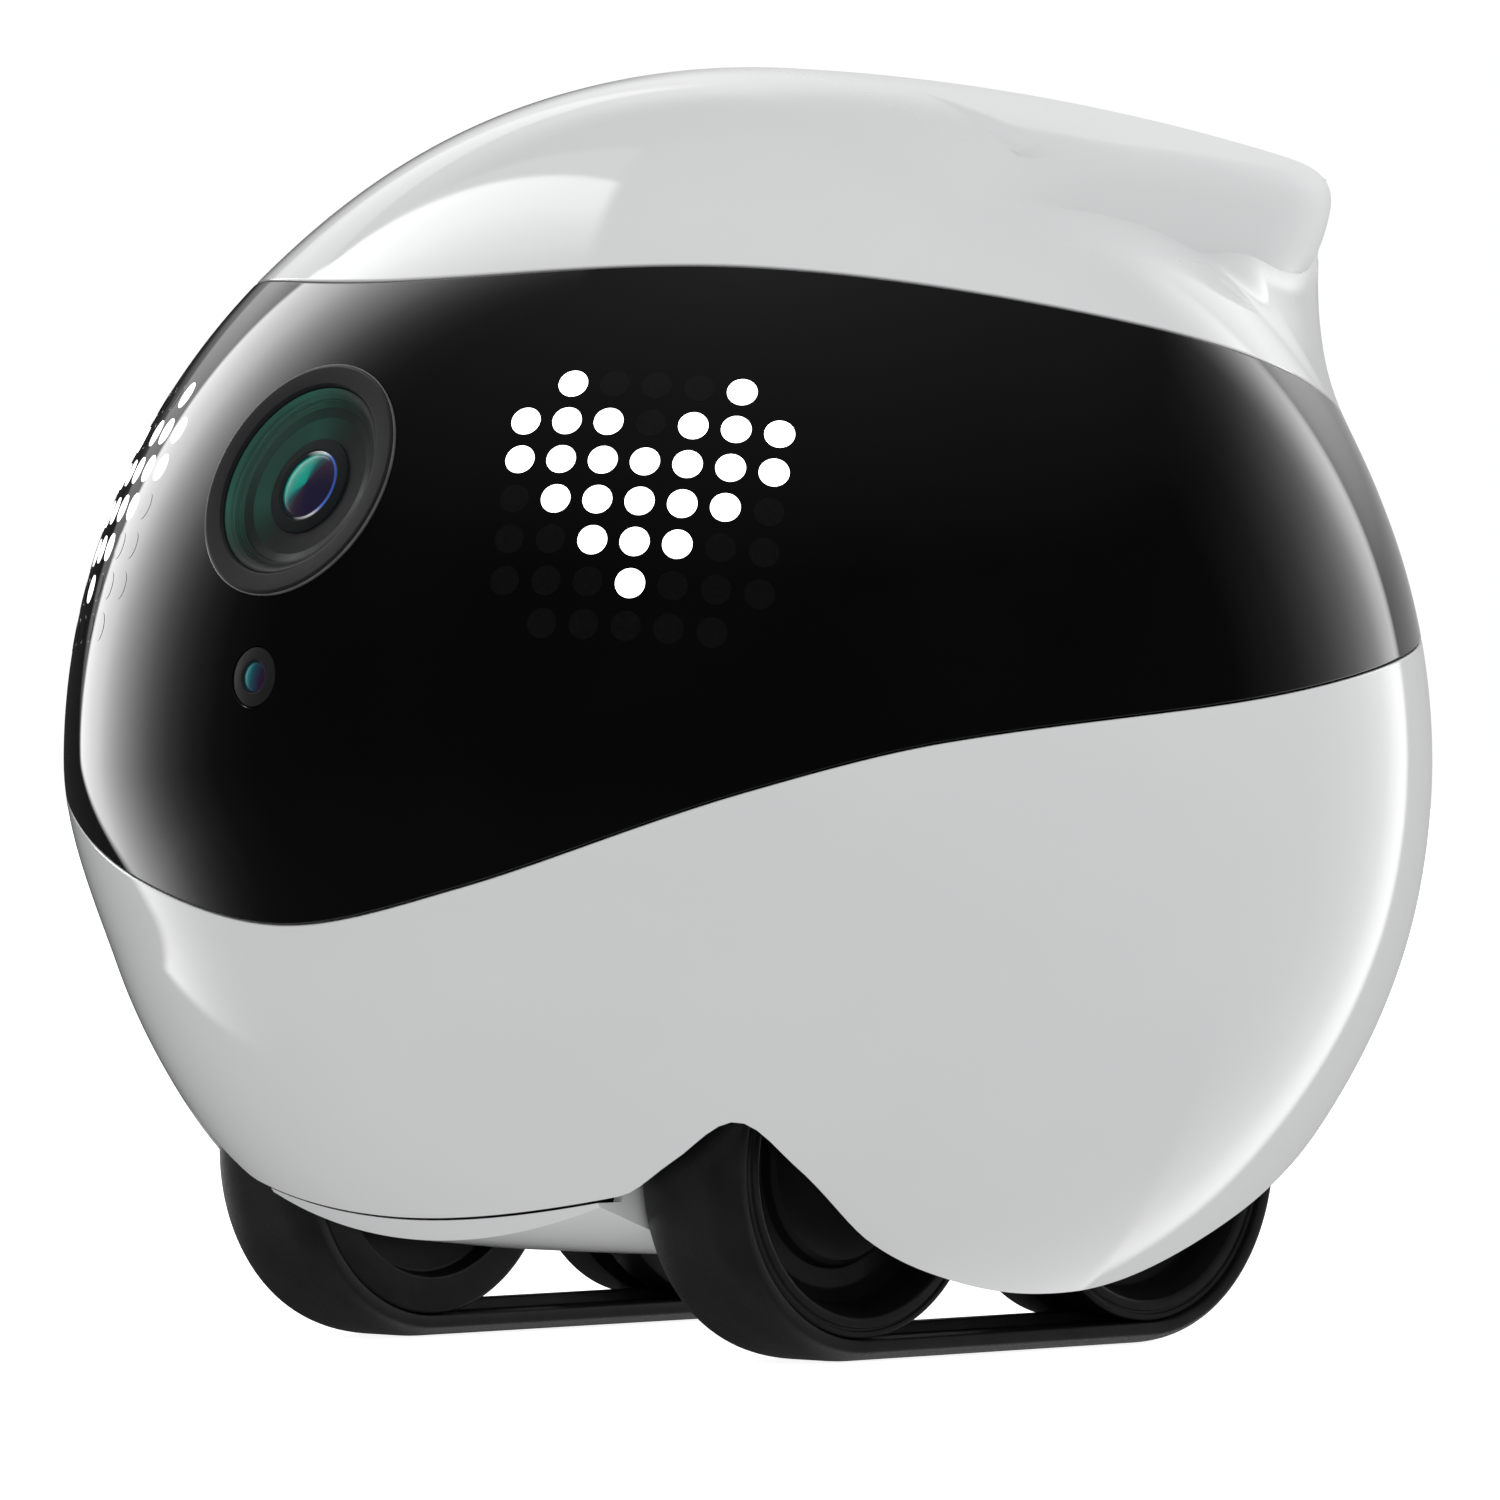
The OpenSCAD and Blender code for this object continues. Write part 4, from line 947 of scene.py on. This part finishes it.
def wheel(name, side, y, bore, body):
    h = WHEEL_HALF
    profile = rounded([
        (bore, -h), (5.2, -h, 0.2), (5.4, -h + 1.2, 0.3), (9.2, -h + 1.2, 0.3), (9.5, -h, 0.2),
        (WHEEL_R, -h, 0.3), (WHEEL_R, -1.1, 0.1), (WHEEL_R - 1.1, -1.1, 0.1), (WHEEL_R - 1.1, 1.1, 0.1),
        (WHEEL_R, 1.1, 0.1), (WHEEL_R, h, 0.3), (11.75, h, 0.05), (11.68, h - 0.12, 0.04),
        (11.5, h - 0.12, 0.04), (11.43, h, 0.05), (10.75, h, 0.35), (10.2, h - 1.1, 0.6),
        (9.8, h - 2.5, 0.7), (8.8, h - 3.2, 0.6), (7.35, h - 3.2, 0.15), (7.1, h - 2.5, 0.2),
        (6.7, h - 2.2, 0.25), (2.4, h - 2.2, 0.1), (2.25, h - 2.35, 0.08), (0, h - 2.35), (0, 0.8),
        (bore, 0.8)], 4)
    return lathe(name, profile, wheel_frame(side, y), 160, body, sharp=40)


for side, label in ((1, "left"), (-1, "right")):
    wear(belt(f"{label}_rubber_belt", side), belt_rubber, "belt_rubber", f"{label}_belt")
    drive_y = JOINTS[f"{label}_drive_turn"]["pos_m"][1] / MM
    idle_y = JOINTS[f"{label}_idle_turn"]["pos_m"][1] / MM
    wear(wheel(f"{label}_drive_wheel_disc", side, drive_y, 1.5, f"{label}_drive"), wheel_black,
         "wheel_black", f"{label}_drive_wheel")
    wear(wheel(f"{label}_idle_wheel_disc", side, idle_y, 1.3, f"{label}_idle"), wheel_black,
         "wheel_black", f"{label}_idle_wheel")

# ---- Bottom cover: a tray that carries on the lower shell between the tracks ----

TRAY_T, TRAY_WALL, TRAY_LIP, TRAY_EDGE = 1.4, 0.65, 2.4, 0.12
TRAY_CLEAR = 0.08
TRAY_BEND_Y, TRAY_BEND_MIDDLE, TRAY_BEND_SIDE = -12, 1 / 260, 1 / 88


def tray(name):
    """A tray swept from one side to the other, in sections of y and z.

    Its front and rear follow the ball's surface, and the sections at both sides rise to its thin walls.
    """
    half, low_z = cover_high.x / MM, cover_low.z / MM - BALL_Z
    wall_in, wall_top = half - TRAY_WALL, cover_high.z / MM - BALL_Z - 0.3
    t = np.linspace(-50, 50, 401)
    ends = []
    for middle in (0, 180):
        turn = (t + middle) % 360
        z = edge_height(SKIRT, turn) - 0.3 * SEAM
        p = on_ball(turn, elevation(turn, z))
        order = np.argsort(p[:, 0])
        ends.append((p[order, 0], p[order, 2]))

    def underside(x, y):
        """Height of the underside: flat, but bent up in front, more so at its sides."""
        bend = TRAY_BEND_MIDDLE + (TRAY_BEND_SIDE - TRAY_BEND_MIDDLE) * (x / half) ** 2
        return low_z + bend * max(TRAY_BEND_Y - y, 0) ** 2

    def section(x, walled):
        outline = []
        for way, (xs, zs) in zip((-1, 1), ends):
            top = float(np.interp(x, xs, zs))
            end_z = min(underside(x, -31.5), top - 0.25) if way < 0 else low_z
            side = []
            for k in range(13):
                z = top + (end_z - top) * k / 12
                y = 30.0
                for _ in range(8):
                    d = np.array([x, way * y, z])
                    d /= np.linalg.norm(d)
                    y = math.sqrt((float(body_r(*d)) - TRAY_CLEAR) ** 2 - x * x - z * z)
                side.append((way * y, z))
            lip = (side[0][0] - way * TRAY_LIP, top)
            inner_y = (TRAY_BEND_Y, -20, -27) if way < 0 else (side[-1][0] - 2.2,)
            inner = [(y, underside(x, y) + TRAY_T) for y in inner_y]
            if walled:
                inner = [(y, wall_top) for y in (*inner_y[:-1], side[0][0] - way * 3.2)]
            run = [(y, underside(x, y)) for y in (-27, -23, -19, -15, TRAY_BEND_Y)] if way < 0 else []
            corners = inner + [lip, (*side[0], TRAY_EDGE)] + side[1:-1] + [(*side[-1], 1.3)] + run
            outline += corners if way < 0 else list(reversed(corners))
        return [(x, y, z + BALL_Z) for y, z in rounded(outline, 5)]

    floor_x = [-wall_in + 2 * wall_in * k / 36 for k in range(37)]
    xs = [-half, -half + TRAY_EDGE, -wall_in] + floor_x + [wall_in, half - TRAY_EDGE, half]
    rings = [section(x, k < 3 or k > len(xs) - 4) for k, x in enumerate(xs)]
    points, faces = strips(rings, False)
    count = len(rings[0])
    faces.append(tuple(range(count)))
    faces.append(tuple(reversed(range(len(points) - count, len(points)))))
    return add_object(name, mesh_of(name, points, faces, sharp=30))


cover_low, cover_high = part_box("bottom_cover")
contact_low, contact_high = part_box("charging_contacts")
screws_low, screws_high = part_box("cover_screws")
bottom_tray = tray("bottom_tray")
CONTACT_R, SCREW_SEAT_R, SCREW_SEAT_Z, SCREW_HOLE_R, SCREW_HEAD_R = 2.0, 2.0, 7.7, 1.05, 1.8
HOLE_TOP = 12
BUSH_HOLE_R, BUSH_HOLE_X, BUSH_HOLE_DEPTH = 4.4, 12, 8
seat = [(0, 0), (SCREW_SEAT_R, 0), (SCREW_SEAT_R, SCREW_SEAT_Z), (SCREW_HOLE_R, SCREW_SEAT_Z),
        (SCREW_HOLE_R, HOLE_TOP), (0, HOLE_TOP)]


def rod(radius, length):
    """The profile that cuts a plain round hole."""
    return [(0, 0), (radius, 0), (radius, length), (0, length)]


holes = []
for way in (-1, 1):
    x = way * (contact_high.x / MM - CONTACT_R)
    holes.append(turned(rod(CONTACT_R, HOLE_TOP),
                        Matrix.Translation((x * MM, (contact_low.y + contact_high.y) / 2, 0)), 48))
    for end in (screws_low.y / MM + SCREW_HEAD_R, screws_high.y / MM - SCREW_HEAD_R):
        x = way * (screws_high.x / MM - SCREW_HEAD_R)
        holes.append(turned(seat, Matrix.Translation((x * MM, end * MM, 0)), 48))
    for y in (-AXLE_Y, AXLE_Y):
        place = (Matrix.Translation((way * BUSH_HOLE_X * MM, y * MM, AXLE_Z * MM))
                 @ Matrix.Rotation(math.radians(90 * way), 4, "Y"))
        holes.append(turned(rod(BUSH_HOLE_R, BUSH_HOLE_DEPTH), place, 64))
cut(bottom_tray, holes)
bottom_tray.data.polygons.foreach_set("use_smooth", [True] * len(bottom_tray.data.polygons))
bottom_tray.data.set_sharp_from_angle(angle=math.radians(30))
wear(bottom_tray, shell_white, "cover_white", "bottom_cover")

# ---- The chassis stays as it is in the CAD, with its edges rounded off ----

weld = NODES["chassis"].modifiers.new("weld", "WELD")
weld.merge_threshold = 0.002 * MM
bevel = NODES["chassis"].modifiers.new("bevel", "BEVEL")
bevel.width = 0.15 * MM
bevel.segments = 2
bevel.limit_method = "ANGLE"
bevel.angle_limit = math.radians(35)
bevel.harden_normals = True

# ---- Camera, light and floor ----

VIEW_AZ, VIEW_EL = 44.1, 0.25
VIEW_DISTANCE = 15.43 * BALL_R * MM
AIM_RIGHT, AIM_UP = 0.15 * MM, 0.73 * MM
FOCAL_PX, FRAME_PX, SENSOR = 10547.0, 1500.0, 36.0
az, el = math.radians(VIEW_AZ), math.radians(VIEW_EL)
to_eye = Vector((math.sin(az) * math.cos(el), -math.cos(az) * math.cos(el), math.sin(el)))
rightwards = Vector((math.cos(az), math.sin(az), 0))
aim = CENTRE + rightwards * AIM_RIGHT + Vector((0, 0, AIM_UP))
camera_data = bpy.data.cameras.new("camera")
camera_data.sensor_width = SENSOR
camera_data.lens = FOCAL_PX / FRAME_PX * SENSOR
camera_data.clip_start, camera_data.clip_end = 0.05, 50
camera = bpy.data.objects.new("camera", camera_data)
bpy.context.scene.collection.objects.link(camera)
camera.location = aim + to_eye * VIEW_DISTANCE
camera.rotation_mode = "QUATERNION"
camera.rotation_quaternion = (-to_eye).to_track_quat("-Z", "Y")
bpy.context.scene.camera = camera
bpy.context.scene.view_settings.view_transform = "Standard"

# The floor lies a hair below the belts. Gloss and bounced light pass through it, so its pale tone
# doesn't hide the lower part of the studio
FLOOR_HALF, FLOOR_Z = 3.0, -0.03 * MM
floor_mesh = bpy.data.meshes.new("floor")
floor_points = [(FLOOR_HALF * x, FLOOR_HALF * y, FLOOR_Z) for x, y in ((-1, -1), (1, -1), (1, 1), (-1, 1))]
floor_mesh.from_pydata(floor_points, [], [(0, 1, 2, 3)])
floor = bpy.data.objects.new("floor", floor_mesh)
bpy.context.scene.collection.objects.link(floor)
floor.visible_glossy = False
floor.visible_diffuse = False
floor_mat = principled("floor_white", (0.9, 0.9, 0.9), 0.8)
shader_of(floor_mat).inputs["Emission Color"].default_value = (1, 1, 1, 1)
shader_of(floor_mat).inputs["Emission Strength"].default_value = 0.9
floor_mesh.materials.append(floor_mat)

world = bpy.data.worlds.new("studio")
bpy.context.scene.world = world
world.use_nodes = True
tree = world.node_tree
tree.nodes.clear()


def wmath(operation, *values):
    return combine(tree, operation, *values)


way_out = add_node(tree, "ShaderNodeTexCoord").outputs["Generated"]


def along(vector):
    return combine_vectors(tree, "DOT_PRODUCT", way_out, vector)


def wramp(angle, stops):
    """Brightness along an angle of -180 to 180 degrees, linear between stops."""
    share = wmath("ADD", wmath("MULTIPLY", angle, 1 / 360), 0.5)
    return ramp(tree, share, [(at / 360 + 0.5, (level, level, level)) for at, level in stops])


# Angles of a direction as seen from the robot: round from straight behind it, and above the horizon
behind = along(-to_eye)
sideways = along(rightwards)
upwards = along(Vector((0, 0, 1)))
turn_angle = wmath("MULTIPLY", wmath("ARCTAN2", sideways, behind), 180 / math.pi)
up_angle = wmath("MULTIPLY", wmath("ARCSINE", upwards), 180 / math.pi)


def studio_way(right, up, behind):
    """A direction of the studio in world axes, from its parts to the right, up and behind."""
    return (rightwards * right + Vector((0, 0, 1)) * up - to_eye * behind).normalized()


def beyond(normal):
    """1 on one side of a straight edge that runs across the studio, 0 on the other."""
    return mapped(tree, along(studio_way(*normal)), -EDGE_BLUR, EDGE_BLUR)


# What gloss sees: a panel on the left and one on the right, a glow behind, and light from overhead.
# The left panel's straight edges are given by their normals; the upper one counts above PANEL_HIGH
SIDE_LIGHT, GLOW_LIGHT = 3.2, 1.1
EDGE_BLUR = 0.012
PANEL_SPLIT, PANEL_HIGH = 3, 29
LEFT_UPPER, LEFT_INNER, LEFT_LOWER = ((-0.3766, 0.1131, -0.2847), (-0.2921, -0.1036, 0.0779),
                                      (-0.2334, 0.2266, -0.1298))
around = wramp(turn_angle, [
    (-90, 0.0), (-80, 0.012), (-73, 0.05), (-67, 0.12), (-61, 0.25), (-54, 0.5), (-40, 1.0), (-29.5, 1.0),
    (-29, 0.10), (-10, 0.15), (10, 0.15), (34.5, 0.12), (35.5, 0.8), (41, 0.68), (46, 0.46), (55, 0.28),
    (65, 0.14), (75, 0.05), (90, 0.0)])
left_heights = wramp(up_angle, [(-32, 0.0), (-30, 0.12), (-24, 0.5), (-18, 0.9), (-10, 1.0), (90, 1.0)])
right_heights = wramp(up_angle, [(-75, 0.35), (-50, 0.8), (-30, 1.0), (16, 1.0), (24, 0.7), (32, 0.25),
                                 (40, 0.0)])
on_left = wmath("LESS_THAN", turn_angle, PANEL_SPLIT)
below = wmath("SUBTRACT", 1, wmath("GREATER_THAN", up_angle, PANEL_HIGH))
left_mask = on_left
for share in (wmath("MAXIMUM", beyond(LEFT_UPPER), below), beyond(LEFT_INNER), beyond(LEFT_LOWER),
              left_heights):
    left_mask = wmath("MULTIPLY", left_mask, share)
right_mask = wmath("MULTIPLY", right_heights, wmath("SUBTRACT", 1, on_left))
mask = wmath("MAXIMUM", left_mask, right_mask)
panels = wmath("MULTIPLY", wmath("MULTIPLY", around, mask), SIDE_LIGHT)
overhead = wramp(up_angle, [(-90, 0.2), (-40, 0.06), (0, 0.03), (30, 0.03), (60, 0.15), (90, 0.3)])
back_glow = wmath("MULTIPLY", wramp(turn_angle, [(-50, 0.0), (-25, 0.6), (0, 1.0), (30, 1.0), (50, 0.0)]),
                  wramp(up_angle, [(8, 0.0), (20, 1.0), (33, 0.9), (41, 0.22), (52, 0.0)]))
seen_in_gloss = wmath("ADD", wmath("ADD", panels, overhead), wmath("MULTIPLY", back_glow, GLOW_LIGHT))

# What lights matt surfaces: a soft dome and a broad light from behind on the right
REAR_LIGHT, REAR_WAY = 0.24, (0.62, 0.45, 0.64)
dome = wramp(up_angle, [(-90, 0.60), (0, 0.69), (90, 0.76)])
rear_light = wmath("MAXIMUM", along(studio_way(*REAR_WAY)), 0)
soft = wmath("ADD", dome, wmath("MULTIPLY", rear_light, REAR_LIGHT))

# The camera itself sees a plain, almost white background
BACKDROP = 1.02
path_kind = add_node(tree, "ShaderNodeLightPath")
mix_gloss = add_node(tree, "ShaderNodeMix", data_type="FLOAT")
tree.links.new(path_kind.outputs["Is Glossy Ray"], mix_gloss.inputs[0])
tree.links.new(soft, mix_gloss.inputs[2])
tree.links.new(seen_in_gloss, mix_gloss.inputs[3])
mix_camera = add_node(tree, "ShaderNodeMix", data_type="FLOAT")
tree.links.new(path_kind.outputs["Is Camera Ray"], mix_camera.inputs[0])
tree.links.new(mix_gloss.outputs[0], mix_camera.inputs[2])
mix_camera.inputs[3].default_value = BACKDROP
background = add_node(tree, "ShaderNodeBackground")
background.inputs["Color"].default_value = (1, 1, 1, 1)
tree.links.new(mix_camera.outputs[0], background.inputs["Strength"])
output = add_node(tree, "ShaderNodeOutputWorld")
tree.links.new(background.outputs[0], output.inputs["Surface"])
